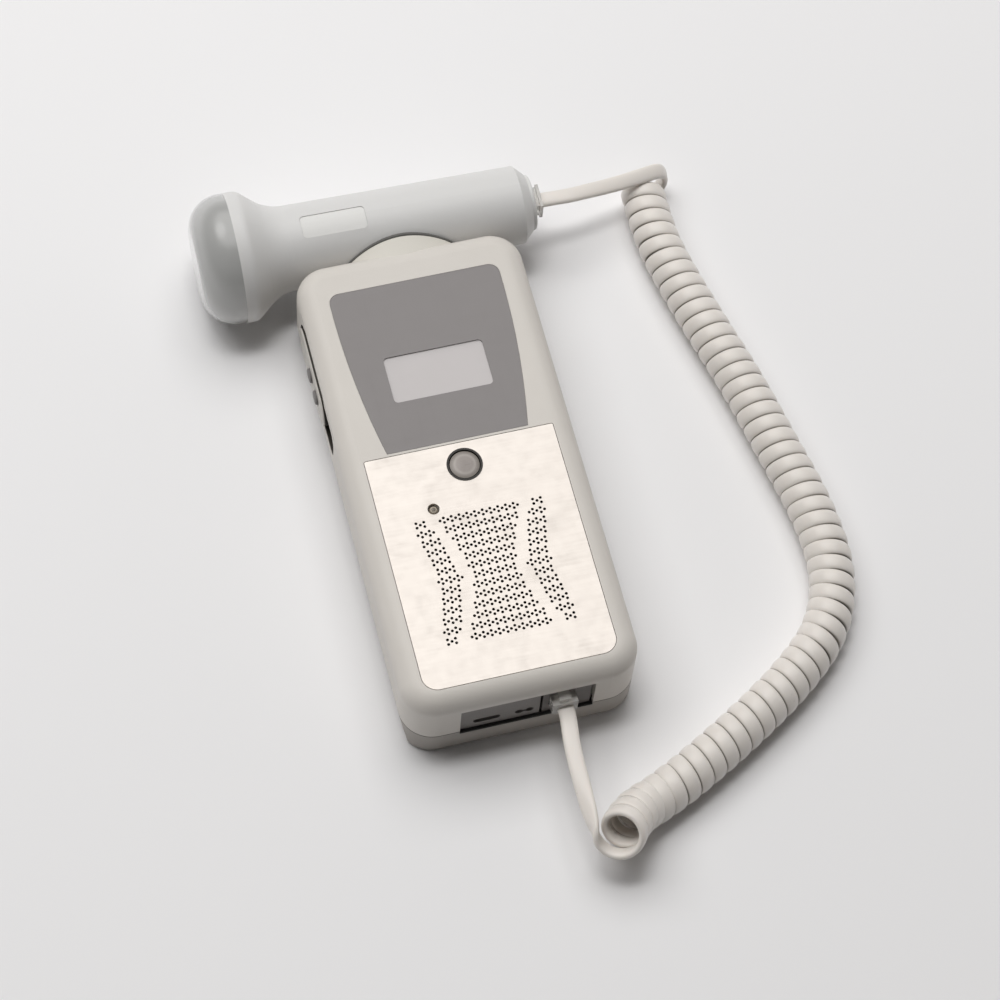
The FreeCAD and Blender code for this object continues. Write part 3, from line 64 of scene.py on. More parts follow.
forward = Vector((-math.sin(TURN) * math.cos(TILT), math.cos(TURN) * math.cos(TILT), -math.sin(TILT)))
level = Vector((math.cos(TURN), math.sin(TURN), 0.0))
upward = level.cross(forward)
side = math.cos(ROLL) * level + math.sin(ROLL) * upward
crown = -math.sin(ROLL) * level + math.cos(ROLL) * upward
camera_data = bpy.data.cameras.new("table_camera")
camera_data.lens, camera_data.sensor_width = LENS_MM, SENSOR_MM
camera_data.clip_start, camera_data.clip_end = 0.05, 20.0
camera = bpy.data.objects.new("table_camera", camera_data)
scene.collection.objects.link(camera)
facing = Matrix((side, crown, -forward)).transposed().to_4x4()
camera.matrix_world = Matrix.Translation(AIM - forward * CAMERA_DISTANCE) @ facing
scene.camera = camera


# ---------------------------------------------------------------- table and light
# The unit lies on a seamless white sweep. A strip light hangs level over it and a large softbox
# beyond its far end, a little to the left. What faces the near side is lit by the dim room alone.
def srgb(red, green, blue):
    """A colour given as display values from 0 to 255, as the linear colour that a shader takes."""
    parts = np.array([red, green, blue], float) / 255.0
    linear = np.where(parts <= 0.04045, parts / 12.92, ((parts + 0.055) / 1.055) ** 2.4)
    return (*linear.tolist(), 1.0)


def link(tree, *pairs):
    """Joins each pair of sockets in a node tree."""
    for start, end in pairs:
        tree.links.new(start, end)


def node(tree, kind, inputs=(), **settings):
    """A new shader node with these settings, and these values on its inputs by name or number."""
    item = tree.nodes.new("ShaderNode" + kind)
    for key, value in settings.items():
        setattr(item, key, value)
    for key, value in dict(inputs).items():
        item.inputs[key].default_value = value
    return item


def principled(name, colour, roughness, **values):
    """A material whose shader has these plain values. Returns the material, its tree and shader."""
    material = bpy.data.materials.new(name)
    material.use_nodes = True
    tree = material.node_tree
    shader = tree.nodes["Principled BSDF"]
    shader.inputs["Base Color"].default_value = colour
    shader.inputs["Roughness"].default_value = roughness
    for key, value in values.items():
        shader.inputs[key.replace("_", " ")].default_value = value
    return material, tree, shader


def mesh_piece(name, points, faces, smooth=True):
    """A new object with a mesh of these points and faces, placed by its points alone."""
    mesh = bpy.data.meshes.new(name)
    mesh.from_pydata(points.tolist(), [], faces)
    mesh.polygons.foreach_set("use_smooth", np.full(len(faces), smooth))
    mesh.validate()
    piece = bpy.data.objects.new(name, mesh)
    scene.collection.objects.link(piece)
    return piece


TABLE_HALF = 3.0
TABLE_DROP = 0.0001
corners = np.array([(-1, -1), (1, -1), (1, 1), (-1, 1)], float) * TABLE_HALF
table = mesh_piece("table_top", np.column_stack([corners, np.full(4, -TABLE_DROP)]), [[0, 1, 2, 3]])
sweep, _, _ = principled("white_sweep", srgb(240, 239, 239), 0.85, Specular_IOR_Level=0.2)
table.data.materials.append(sweep)

# Each lamp's place and its two sides in metres, and its power in watts.
STUDIO_LIGHTS = {
    "strip_light": ((-0.12, 0.25, 1.80), (0.65, 0.30), 7.5),
    "softbox": ((-0.30, 0.92, 1.70), (2.20, 1.50), 30.5),
}
for name, (where, spread, watts) in STUDIO_LIGHTS.items():
    data = bpy.data.lights.new(name, "AREA")
    data.shape, data.size, data.size_y, data.energy = "RECTANGLE", *spread, watts
    lamp = bpy.data.objects.new(name, data)
    scene.collection.objects.link(lamp)
    lamp.location = where
    lamp.visible_glossy = False

# What glossy surfaces mirror: a wide bright panel overhead with a brighter lamp left of its middle, a
# dim ceiling round it and a pale horizon. What lights the rest: a weak fill from beyond the far end,
# and a stronger one from either side, low over the table.
PANEL_WAY = (0.03, 0.42, 0.905)
PANEL_EDGE = (math.cos(math.radians(44.0)), math.cos(math.radians(24.0)))
PANEL_LIGHT, CEILING_LIGHT, HORIZON_LIGHT = 1.12, 0.26, 0.62
HORIZON_TOP, CEILING_FOOT = 0.02, 0.30
FILL_TINT, MIRROR_TINT = (1.0, 0.98, 0.97, 1.0), (1.0, 0.985, 0.97, 1.0)
CORE_WAY = (-0.26, 0.42, 0.87)
CORE_EDGE = (math.cos(math.radians(19.0)), math.cos(math.radians(6.0)))
CORE_LIGHT = 0.8
SIDE_FILL, BACK_FILL, FRONT_FILL = 0.8, 0.3, 0.02
SIDE_FROM, SIDE_TO, BACK_TO = 0.80, 0.97, 0.45
room = bpy.data.worlds.new("studio_room")
room.use_nodes = True
scene.world = room
tree = room.node_tree
tree.nodes.clear()
way = node(tree, "TexCoord")
sideways = node(tree, "Math", operation="ABSOLUTE")
from_side = node(tree, "MapRange", {"From Min": SIDE_FROM, "From Max": SIDE_TO, "To Max": SIDE_FILL})
from_back = node(tree, "MapRange", {"From Min": 0.0, "From Max": BACK_TO, "To Min": FRONT_FILL,
                                    "To Max": BACK_FILL})
stronger = node(tree, "Math", operation="MAXIMUM")
fill = node(tree, "Background", {"Color": FILL_TINT})
near_panel = node(tree, "VectorMath", {1: PANEL_WAY}, operation="DOT_PRODUCT")
near_core = node(tree, "VectorMath", {1: CORE_WAY}, operation="DOT_PRODUCT")
core = node(tree, "MapRange", {"From Min": CORE_EDGE[0], "From Max": CORE_EDGE[1], "To Min": 0.0,
                               "To Max": CORE_LIGHT}, interpolation_type="SMOOTHSTEP")
panel = node(tree, "MapRange", {"From Min": PANEL_EDGE[0], "From Max": PANEL_EDGE[1],
                                "To Min": 0.0, "To Max": PANEL_LIGHT - CEILING_LIGHT},
             interpolation_type="SMOOTHSTEP")
direction = node(tree, "SeparateXYZ")
ceiling = node(tree, "MapRange", {"From Min": HORIZON_TOP, "From Max": CEILING_FOOT,
                                  "To Min": HORIZON_LIGHT, "To Max": CEILING_LIGHT},
               interpolation_type="SMOOTHSTEP")
mirrored = node(tree, "Math", operation="ADD")
brightened = node(tree, "Math", operation="ADD")
mirror = node(tree, "Background", {"Color": MIRROR_TINT})
seen = node(tree, "Background", {"Color": (1.0, 1.0, 1.0, 1.0), "Strength": 1.0})
rays = node(tree, "LightPath")
through = node(tree, "Math", operation="MAXIMUM")
gloss_mix, mix = node(tree, "MixShader"), node(tree, "MixShader")
out = node(tree, "OutputWorld")
link(
    tree,
    (direction.outputs["X"], sideways.inputs[0]),
    (sideways.outputs[0], from_side.inputs["Value"]),
    (direction.outputs["Y"], from_back.inputs["Value"]),
    (from_back.outputs["Result"], stronger.inputs[0]),
    (from_side.outputs["Result"], stronger.inputs[1]),
    (stronger.outputs[0], fill.inputs["Strength"]),
    (way.outputs["Generated"], near_panel.inputs[0]),
    (near_panel.outputs["Value"], panel.inputs["Value"]),
    (way.outputs["Generated"], direction.inputs[0]),
    (direction.outputs["Z"], ceiling.inputs["Value"]),
    (panel.outputs["Result"], mirrored.inputs[0]),
    (ceiling.outputs["Result"], mirrored.inputs[1]),
    (way.outputs["Generated"], near_core.inputs[0]),
    (near_core.outputs["Value"], core.inputs["Value"]),
    (mirrored.outputs[0], brightened.inputs[0]),
    (core.outputs["Result"], brightened.inputs[1]),
    (brightened.outputs[0], mirror.inputs["Strength"]),
    (rays.outputs["Is Glossy Ray"], gloss_mix.inputs[0]),
    (fill.outputs[0], gloss_mix.inputs[1]),
    (mirror.outputs[0], gloss_mix.inputs[2]),
    (rays.outputs["Is Camera Ray"], through.inputs[0]),
    (rays.outputs["Is Transmission Ray"], through.inputs[1]),
    (through.outputs[0], mix.inputs[0]),
    (gloss_mix.outputs[0], mix.inputs[1]),
    (seen.outputs[0], mix.inputs[2]),
    (mix.outputs[0], out.inputs["Surface"]),
)
scene.view_settings.view_transform = "Standard"


# ---------------------------------------------------------------- curly cord
# A flat four-core handset cord in soft cream vinyl. It is wound hot on a rod, so it springs back
# into about fifty turns; a straight lead at each end goes into its clear modular plug.
CORD_WIDTH, CORD_THICK = 5.0 * MM, 2.2 * MM
COIL_RADIUS = 6.0 * MM
PITCH = 5.06 * MM
TURN_STEPS = 20
CORD_STEP = 0.95 * MM
FIRST_ANGLE, LAST_ANGLE = math.radians(20.0), math.radians(80.0)
WIDER_BY, WIDEST_ANGLE, WIDE_SPREAD = 0.27, 0.4, 1.7
RING_POINTS = 16
AXIS_STEPS, ROUTE_STEPS = 24, 2
COIL_AXIS = MM * np.array([
    (16.3, -120.0, 19.5), (20.4, -114.8, 14.5), (25.5, -110.3, 9.5), (31.3, -107.9, 7.4),
    (42.0, -103.2, 7.2), (60.0, -93.6, 7.2), (80.5, -81.2, 7.2),
    (96.5, -67.5, 7.2), (103.6, -49.5, 7.2), (103.2, -28.5, 7.2), (98.8, -5.5, 7.2),
    (95.0, 16.5, 7.2), (89.6, 38.5, 7.2), (85.2, 58.0, 7.2), (82.2, 76.0, 7.2), (83.0, 91.8, 7.2),
])
UNIT_LEAD = MM * np.array([
    (11.4, -73.0, 17.4), (11.4, -77.9, 17.4), (11.4, -81.5, 17.5), (10.3, -88.1, 17.8), (9.9, -96.0, 17.9),
    (9.8, -103.8, 18.0), (9.7, -110.7, 18.0),
])
PROBE_LEAD = MM * np.array([
    (88.0, 93.6, 2.4), (91.0, 94.8, 6.5), (90.8, 95.2, 11.2), (88.0, 94.5, 14.0), (84.0, 93.4, 14.9),
    (76.8, 91.8, 16.0), (70.0, 90.3, 17.6), (63.2, 89.1, 19.2), (56.5, 88.0, 20.5), (52.0, 88.09, 20.8),
    (47.4, 88.133, 20.8), (44.0, 88.16, 20.8),
])
LEAD_TWIST = np.array([0.0, 0.0, 0.0, 0.03, 0.10, 0.25, 0.45, 0.66, 0.85, 0.95])
PROBE_LEAD_FACES = np.array([
    (0.7, 0, -0.7), (1, 0, 0), (0.9, -0.1, 0.4), (0.4, -0.25, 0.9), (0.1, -0.35, 0.93), (0, -0.3, 1),
    (0, -0.2, 1), (0, -0.1, 1), (0, 0, 1), (0, 0, 1), (0, 0, 1), (0, 0, 1),
])


def spline_points(control, per_point):
    """The points of a smooth open NURBS spline of order three through control points that end it."""
    data = bpy.data.curves.new("route", "CURVE")
    data.dimensions = "3D"
    spline = data.splines.new("NURBS")
    spline.points.add(len(control) - 1)
    spline.points.foreach_set("co", np.column_stack([control, np.ones(len(control))]).ravel())
    spline.order_u = 3
    spline.use_endpoint_u = True
    spline.resolution_u = per_point
    holder = bpy.data.objects.new("route", data)
    line = bpy.data.meshes.new_from_object(holder)
    points = np.empty(len(line.vertices) * 3)
    line.vertices.foreach_get("co", points)
    bpy.data.meshes.remove(line)
    bpy.data.curves.remove(data)
    return points.reshape(-1, 3)


def along(points):
    """How far along a line of points each of them is."""
    steps = np.linalg.norm(np.diff(points, axis=0), axis=1)
    return np.concatenate([[0.0], np.cumsum(steps)])


def unit(vectors):
    """Each vector divided by its own length."""
    return vectors / np.linalg.norm(vectors, axis=-1, keepdims=True)


def coil_points():
    """The turns: the axis plus a radius that swings left, down, right and up as the angle grows
    with the distance along the axis. The radius has a bell-shaped rise in the first turn, where the
    lead runs into it. Returns the points and the way outward at each."""
    axis = spline_points(COIL_AXIS, AXIS_STEPS)
    reach = along(axis)
    swing = LAST_ANGLE - FIRST_ANGLE
    total = round((reach[-1] / PITCH * 2 * math.pi - swing) / (2 * math.pi)) * 2 * math.pi + swing
    angle = np.linspace(0.0, total, int(total / (2 * math.pi) * TURN_STEPS))
    place = reach[-1] * angle / total
    centre = np.column_stack([np.interp(place, reach, axis[:, k]) for k in range(3)])
    ahead = unit(np.column_stack([np.interp(place, reach, row) for row in np.gradient(axis, axis=0).T]))
    left = unit(np.cross([0.0, 0.0, 1.0], ahead))
    down = np.cross(left, ahead)
    phase = (FIRST_ANGLE + angle)[:, None]
    outward = np.cos(phase) * left + np.sin(phase) * down
    radius = COIL_RADIUS * (1.0 + WIDER_BY * np.exp(-((angle - WIDEST_ANGLE) / WIDE_SPREAD) ** 2))
    return centre + radius[:, None] * outward, outward


def swept_strip(path, rail, width, thick, around=RING_POINTS, fullness=2.6):
    """A strip carried along a path: at each point a rounded flat section, whose long side lies
    across the path and whose short side points at the rail. Its outline is the superellipse where
    the two half measures raised to the fullness add up to one. The ends are closed."""
    ahead = unit(np.gradient(path, axis=0))
    face = rail - path
    face = unit(face - (face * ahead).sum(1, keepdims=True) * ahead)
    across = np.cross(ahead, face)
    angle = np.linspace(0.0, 2 * math.pi, around, endpoint=False)
    curve = lambda wave: np.sign(wave) * np.abs(wave) ** (2.0 / fullness)
    u, v = curve(np.cos(angle)) * width / 2, curve(np.sin(angle)) * thick / 2
    rings = path[:, None] + u[None, :, None] * across[:, None] + v[None, :, None] * face[:, None]
    row = np.arange(len(path) - 1)[:, None] * around
    step = np.arange(around)[None, :]
    after = (step + 1) % around
    quads = np.stack([row + step, row + after, row + around + after, row + around + step], axis=-1)
    first = np.arange(around)[::-1]
    last = np.arange(around) + (len(path) - 1) * around
    return rings.reshape(-1, 3), quads.reshape(-1, 4).tolist() + [first.tolist(), last.tolist()]


def ring_uv(piece, path, around=RING_POINTS):
    """A UV map for a swept piece: how far round the ring a point is, and metres along the path."""
    mesh = piece.data
    corner = np.empty(len(mesh.loops), int)
    mesh.loops.foreach_get("vertex_index", corner)
    starts = np.empty(len(mesh.polygons), int)
    counts = np.empty(len(mesh.polygons), int)
    mesh.polygons.foreach_get("loop_start", starts)
    mesh.polygons.foreach_get("loop_total", counts)
    turn = (corner % around) / around
    owner = np.repeat(np.arange(len(starts)), counts)
    wraps = (owner % around == around - 1) & (turn == 0.0) & (counts[owner] == 4)
    places = np.column_stack([turn + wraps, along(path)[corner // around]])
    mesh.uv_layers.new(name="ring").data.foreach_set("uv", places.ravel())


# The strip's flat side looks up where it leaves the unit and turns outward as it enters the coil.
# Path and rail are resampled at even steps, so that the rings stand evenly along the strip.
turns, outward = coil_points()
cord_control = np.vstack([UNIT_LEAD, turns, PROBE_LEAD])
turned = np.vstack([np.repeat(outward[:1], len(UNIT_LEAD), axis=0), outward, unit(PROBE_LEAD_FACES)])
twist = np.ones((len(turned), 1))
twist[:len(LEAD_TWIST), 0] = LEAD_TWIST
facing_way = unit((1 - twist) * np.array([0.0, 0.0, 1.0]) + twist * turned)
cord_path = spline_points(cord_control, ROUTE_STEPS)
cord_rail = spline_points(cord_control + facing_way * CORD_THICK, ROUTE_STEPS)
reach = along(cord_path)
even = np.linspace(0.0, reach[-1], int(reach[-1] / CORD_STEP))
cord_path = np.column_stack([np.interp(even, reach, row) for row in cord_path.T])
cord_rail = np.column_stack([np.interp(even, reach, row) for row in cord_rail.T])
cord = mesh_piece("curly_cord", *swept_strip(cord_path, cord_rail, CORD_WIDTH, CORD_THICK))
ring_uv(cord, cord_path)


def shader_group(name, inputs, outputs):
    """An empty shader node group with these sockets. Returns it with its input and output nodes."""
    tree = bpy.data.node_groups.new(name, "ShaderNodeTree")
    for socket, kind in inputs:
        tree.interface.new_socket(socket, in_out="INPUT", socket_type="NodeSocket" + kind)
    for socket, kind in outputs:
        tree.interface.new_socket(socket, in_out="OUTPUT", socket_type="NodeSocket" + kind)
    return tree, tree.nodes.new("NodeGroupInput"), tree.nodes.new("NodeGroupOutput")


def placed(tree, group, **values):
    """A shader node group placed in a material, with these values on its inputs."""
    item = node(tree, "Group")
    item.node_tree = group
    for key, value in values.items():
        item.inputs[key.replace("_", " ")].default_value = value
    return item


CLOUD_SCALE, HAZE_SCALE, HAZE_DEPTH = 42.0, 300.0, 0.22


def build_moulded_skin():
    """The skin of moulded plastic: slow drifts of shade over centimetres, a spread of gloss over
    millimetres, and the grain of the mould's spark finish as a height."""
    tree, given, out = shader_group(
        "moulded_skin",
        [("Place", "Vector"), ("Colour", "Color"), ("Drift", "Float"), ("Roughness", "Float"),
         ("Grain", "Float")],
        [("Colour", "Color"), ("Roughness", "Float"), ("Height", "Float")],
    )
    cloud = node(tree, "TexNoise", {"Scale": CLOUD_SCALE, "Detail": 3.0})
    cloud_mid = node(tree, "Math", {1: 0.5}, operation="SUBTRACT")
    shade = node(tree, "Math", {2: 1.0}, operation="MULTIPLY_ADD")
    tint = node(tree, "VectorMath", operation="SCALE")
    haze = node(tree, "TexNoise", {"Scale": HAZE_SCALE, "Detail": 2.0})
    haze_mid = node(tree, "Math", {1: 0.5}, operation="SUBTRACT")
    gloss = node(tree, "Math", {1: HAZE_DEPTH}, operation="MULTIPLY_ADD")
    spark = node(tree, "TexNoise", {"Detail": 2.5, "Roughness": 0.6})
    link(
        tree,
        (given.outputs["Place"], cloud.inputs["Vector"]),
        (cloud.outputs["Fac"], cloud_mid.inputs[0]),
        (cloud_mid.outputs[0], shade.inputs[0]),
        (given.outputs["Drift"], shade.inputs[1]),
        (given.outputs["Colour"], tint.inputs[0]),
        (shade.outputs[0], tint.inputs["Scale"]),
        (tint.outputs[0], out.inputs["Colour"]),
        (given.outputs["Place"], haze.inputs["Vector"]),
        (haze.outputs["Fac"], haze_mid.inputs[0]),
        (haze_mid.outputs[0], gloss.inputs[0]),
        (given.outputs["Roughness"], gloss.inputs[2]),
        (gloss.outputs[0], out.inputs["Roughness"]),
        (given.outputs["Place"], spark.inputs["Vector"]),
        (given.outputs["Grain"], spark.inputs["Scale"]),
        (spark.outputs["Fac"], out.inputs["Height"]),
    )
    return tree


moulded_skin = build_moulded_skin()


def moulded(name, colour, roughness, drift=0.06, grain=2600.0, depth=0.012, **values):
    """A moulded plastic: the skin's colour, gloss and grain, the grain a bump of a depth in
    millimetres. Returns the material, its tree, shader, skin node, bump node and place node."""
    material, tree, shader = principled(name, colour, roughness, **values)
    place = node(tree, "TexCoord")
    skin = placed(tree, moulded_skin, Colour=colour, Drift=drift, Roughness=roughness, Grain=grain)
    bump = node(tree, "Bump", {"Strength": 1.0, "Distance": depth * MM})
    link(
        tree,
        (place.outputs["Object"], skin.inputs["Place"]),
        (skin.outputs["Colour"], shader.inputs["Base Color"]),
        (skin.outputs["Roughness"], shader.inputs["Roughness"]),
        (skin.outputs["Height"], bump.inputs["Height"]),
        (bump.outputs["Normal"], shader.inputs["Normal"]),
    )
    return material, tree, shader, skin, bump, place


def cover(material, *names):
    """Gives these CAD pieces a material."""
    for name in names:
        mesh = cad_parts[name].data
        mesh.materials.clear()
        mesh.materials.append(material)


# The sheath's extrusion die leaves faint lines along it, and handling dulls it in patches. Shade is
# painted on the narrow edges, where the turns touch and shade each other; the two leads are left unshaded.
CORD_CREAM, GROOVE_SHADE = srgb(228, 222, 215), srgb(112, 103, 92)
EDGE_FROM, EDGE_TO, SHADE_MOST = 0.45, 0.98, 0.75
UNSHADED_AT_UNIT, SHADED_FROM = 90.0 * MM, 130.0 * MM
UNSHADED_AT_PROBE, SHADE_FADES_OVER = 70.0 * MM, 20.0 * MM
cord_vinyl, tree, shader, skin, bump, place = moulded(
    "cord_vinyl", CORD_CREAM, 0.33, drift=0.05, grain=1500.0, Subsurface_Weight=0.08,
    Coat_Weight=0.35, Coat_Roughness=0.28)
shader.inputs["Subsurface Radius"].default_value = (1.2 * MM, 1.0 * MM, 0.8 * MM)
shader.inputs["Subsurface Scale"].default_value = 1.0
die = node(tree, "Mapping", {"Scale": (26.0, 1.5, 1.0)})
lines = node(tree, "TexNoise", {"Scale": 3.0, "Detail": 2.0})
relief = node(tree, "Math", {1: 0.7}, operation="MULTIPLY_ADD")
round_it = node(tree, "SeparateXYZ")
wave = node(tree, "Math", {1: 4.0 * math.pi}, operation="MULTIPLY")
swell = node(tree, "Math", operation="COSINE")
edge = node(tree, "MapRange", {"From Min": EDGE_FROM, "From Max": EDGE_TO, "To Max": SHADE_MOST})
wound = node(tree, "MapRange", {"From Min": UNSHADED_AT_UNIT, "From Max": SHADED_FROM})
last_turn = float(along(cord_path)[-1]) - UNSHADED_AT_PROBE
unwound = node(tree, "MapRange", {"From Min": last_turn, "From Max": last_turn - SHADE_FADES_OVER})
in_coil = node(tree, "Math", operation="MULTIPLY")
in_groove = node(tree, "Math", operation="MULTIPLY")
# Painted shade on the narrow edges of the coiled part, fading out towards both leads.
groove_shaded = node(tree, "Mix", {"A": CORD_CREAM, "B": GROOVE_SHADE}, data_type="RGBA")
link(
    tree,
    (place.outputs["UV"], round_it.inputs[0]),
    (round_it.outputs["X"], wave.inputs[0]),
    (wave.outputs[0], swell.inputs[0]),
    (swell.outputs[0], edge.inputs["Value"]),
    (round_it.outputs["Y"], wound.inputs["Value"]),
    (round_it.outputs["Y"], unwound.inputs["Value"]),
    (wound.outputs["Result"], in_coil.inputs[0]),
    (unwound.outputs["Result"], in_coil.inputs[1]),
    (edge.outputs["Result"], in_groove.inputs[0]),
    (in_coil.outputs[0], in_groove.inputs[1]),
    (in_groove.outputs[0], groove_shaded.inputs["Factor"]),
    (groove_shaded.outputs["Result"], skin.inputs["Colour"]),
    (place.outputs["UV"], die.inputs["Vector"]),
    (die.outputs[0], lines.inputs["Vector"]),
    (lines.outputs["Fac"], relief.inputs[0]),
    (skin.outputs["Height"], relief.inputs[2]),
    (relief.outputs[0], bump.inputs["Height"]),
)
cord.data.materials.append(cord_vinyl)
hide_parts("unit_lead", "coiled_cord", "probe_lead")
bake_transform(cord)


# ---------------------------------------------------------------- modular plugs
# The cord ends in two handset plugs, clear polycarbonate blocks crimped on the sheath: one in the
# unit's jack, one in the probe's tail. Four gold blades are pressed into the tip of each.
PLUG_CLEAR = srgb(236, 234, 230)
plug_poly, tree, shader, skin, bump, place = moulded(
    "plug_polycarbonate", PLUG_CLEAR, 0.20, drift=0.04, grain=700.0, depth=0.002,
    Transmission_Weight=0.55, IOR=1.585)
cover(plug_poly, "unit_plug", "probe_plug")

BLADE_PITCH, BLADE_WIDTH, BLADE_TALL, BLADE_LONG = 1.02 * MM, 0.35 * MM, 1.9 * MM, 4.2 * MM
BLADE_COUNT = 4
NOSE_BACK, NOSE_LOW = 0.65, 0.15
UNIT_BLADES_AT, PROBE_BLADES_AT = (11.3 * MM, -67.0 * MM, 15.7 * MM), (31.7 * MM, 88.28 * MM, 18.9 * MM)


def blade_row(start, ahead, across, up):
    """The four contact blades: a box with a sloped nose, worked out in the plug's own directions
    and repeated across the plug at an even pitch."""
    outline = np.array([(0.0, -1.0), (1.0, -1.0), (1.0, NOSE_LOW), (NOSE_BACK, 1.0), (0.0, 1.0)])
    outline *= (BLADE_LONG, BLADE_TALL / 2)
    offset = (np.arange(BLADE_COUNT) - (BLADE_COUNT - 1) / 2) * BLADE_PITCH
    sides = offset[:, None] + np.array([-BLADE_WIDTH, BLADE_WIDTH])[None, :] / 2
    flat = outline[:, :1] * ahead + outline[:, 1:] * up
    points = np.asarray(start) + flat[None, None] + sides[:, :, None, None] * across
    count = len(outline)
    step = np.arange(count)
    walls = np.column_stack([step, (step + 1) % count, (step + 1) % count + count, step + count])
    faces = []
    for first in np.arange(BLADE_COUNT) * 2 * count:
        faces += (walls + first).tolist()
        faces += [(step[::-1] + first).tolist(), (step + first + count).tolist()]
    return points.reshape(-1, 3), faces


axis_x, axis_y, axis_z = np.eye(3)
gold, tree, shader = principled("gold_flash", srgb(222, 186, 112), 0.26, Metallic=1.0)
place = node(tree, "TexCoord")
rubbed = node(tree, "TexNoise", {"Scale": 2200.0, "Detail": 3.0})
sheen = node(tree, "MapRange", {"To Min": 0.18, "To Max": 0.42})
link(tree, (place.outputs["Object"], rubbed.inputs["Vector"]), (rubbed.outputs["Fac"], sheen.inputs["Value"]),
     (sheen.outputs["Result"], shader.inputs["Roughness"]))
for name, body, start, ahead, across in [
    ("unit_plug_blades", "unit", UNIT_BLADES_AT, axis_y, -axis_x),
    ("probe_plug_blades", "probe", PROBE_BLADES_AT, -axis_x, -axis_y),
]:
    blades = mesh_piece(name, *blade_row(start, ahead, across, axis_z), smooth=False)
    blades.data.materials.append(gold)
    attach(blades, body)


# ---------------------------------------------------------------- case mouldings
# Two satin cream ABS mouldings make the case, a deep front and a shallow back, held by four screws
# from behind, and a raised moulding of the same plastic frames the side keys. Shade is painted into that
# frame's slot, round its foot and into the line between the shells.
# The frame's cream is the case plastic painted darker, for the shade on its side face.
CASE_CREAM, FRAME_SHADED_CREAM, BACK_CREAM = srgb(211, 206, 199), srgb(192, 188, 181), srgb(167, 162, 156)
SHADE_COLOUR, LINE_SHADE = srgb(40, 35, 29), srgb(34, 30, 26)
SLOT_SHADE = [
    ("X", -35.30 * MM, -35.15 * MM), ("Z", 27.6 * MM, 27.4 * MM), ("Y", 17.0 * MM, 17.4 * MM),
    ("Y", 62.0 * MM, 61.6 * MM), ("X", -30.0 * MM, -30.4 * MM),
]
FOOT_SHADE = [("X", -35.85 * MM, -35.70 * MM)]
# Painted shade: the rear shell turns dark above the parting groove, for the shade in the line between the
# shells.
SEAM_SHADE = [("Z", 10.58 * MM, 10.62 * MM)]


def paint_shade_in(tree, skin, place, bare_colour, painted_shade, limits):
    """Paints shade into the skin's colour, turning it from the bare colour to the shade colour inside all the
    limits: each is an axis, the place where the painted shade starts and the place where it is full, and
    their ramps are multiplied."""
    within = node(tree, "SeparateXYZ")
    tree.links.new(place.outputs["Object"], within.inputs[0])
    mask = None
    for axis, shade_starts_at, shade_full_at in limits:
        ramp = node(tree, "MapRange", {"From Min": shade_starts_at, "From Max": shade_full_at})
        tree.links.new(within.outputs[axis], ramp.inputs["Value"])
        share = ramp.outputs["Result"]
        if mask is not None:
            both = node(tree, "Math", operation="MULTIPLY")
            link(tree, (mask, both.inputs[0]), (share, both.inputs[1]))
            share = both.outputs[0]
        mask = share
    shaded = node(tree, "Mix", {"A": bare_colour, "B": painted_shade}, data_type="RGBA")
    link(tree, (mask, shaded.inputs["Factor"]), (shaded.outputs["Result"], skin.inputs["Colour"]))


for name, colour, roughness, drift, grain, depth, painted_shade, limits, *pieces in [
    ("case_abs", CASE_CREAM, 0.42, 0.07, 2300.0, 0.018, SHADE_COLOUR, SLOT_SHADE, "front_shell"),
    ("frame_abs", FRAME_SHADED_CREAM, 0.42, 0.07, 2300.0, 0.018, SHADE_COLOUR, FOOT_SHADE, "key_bezel"),
    ("back_abs", BACK_CREAM, 0.48, 0.09, 1900.0, 0.030, LINE_SHADE, SEAM_SHADE, "rear_shell", "battery_door"),
]:
    abs_plastic, tree, shader, skin, bump, place = moulded(
        name, colour, roughness, drift=drift, grain=grain, depth=depth)
    # Paints shade into the slot, round the frame's foot and into the line between the shells.
    paint_shade_in(tree, skin, place, colour, painted_shade, limits)
    cover(abs_plastic, *pieces)


MARK_EDGE = 0.06


def build_stray_marks():
    """Fine random marks in one direction: noise drawn out a hundredfold and kept where it peaks."""
    tree, given, out = shader_group(
        "stray_marks", [("Place", "Vector"), ("Stretch", "Vector"), ("Least", "Float")], [("Mask", "Float")])
    drawn = node(tree, "VectorMath", operation="MULTIPLY")
    grainy = node(tree, "TexNoise", {"Scale": 1.0, "Detail": 1.0})
    most = node(tree, "Math", {1: MARK_EDGE}, operation="ADD")
    keep = node(tree, "MapRange", {"To Min": 0.0, "To Max": 1.0})
    link(
        tree,
        (given.outputs["Place"], drawn.inputs[0]),
        (given.outputs["Stretch"], drawn.inputs[1]),
        (drawn.outputs[0], grainy.inputs["Vector"]),
        (given.outputs["Least"], most.inputs[0]),
        (grainy.outputs["Fac"], keep.inputs["Value"]),
        (given.outputs["Least"], keep.inputs["From Min"]),
        (most.outputs[0], keep.inputs["From Max"]),
        (keep.outputs["Result"], out.inputs["Mask"]),
    )
    return tree


stray_marks = build_stray_marks()

# The rating plate on the back is a thin anodised sheet, brushed across and left blank.
rating, tree, shader, skin, bump, place = moulded(
    "rating_sheet", srgb(150, 149, 147), 0.40, drift=0.05, grain=900.0, depth=0.004, Metallic=0.8)
hairs = placed(tree, stray_marks, Stretch=(45.0, 5200.0, 45.0), Least=0.40)
worn = node(tree, "Math", {1: 0.15}, operation="MULTIPLY_ADD")
link(tree, (place.outputs["Object"], hairs.inputs["Place"]), (hairs.outputs["Mask"], worn.inputs[0]),
     (skin.outputs["Roughness"], worn.inputs[2]), (worn.outputs[0], shader.inputs["Roughness"]))
cover(rating, "rating_plate")


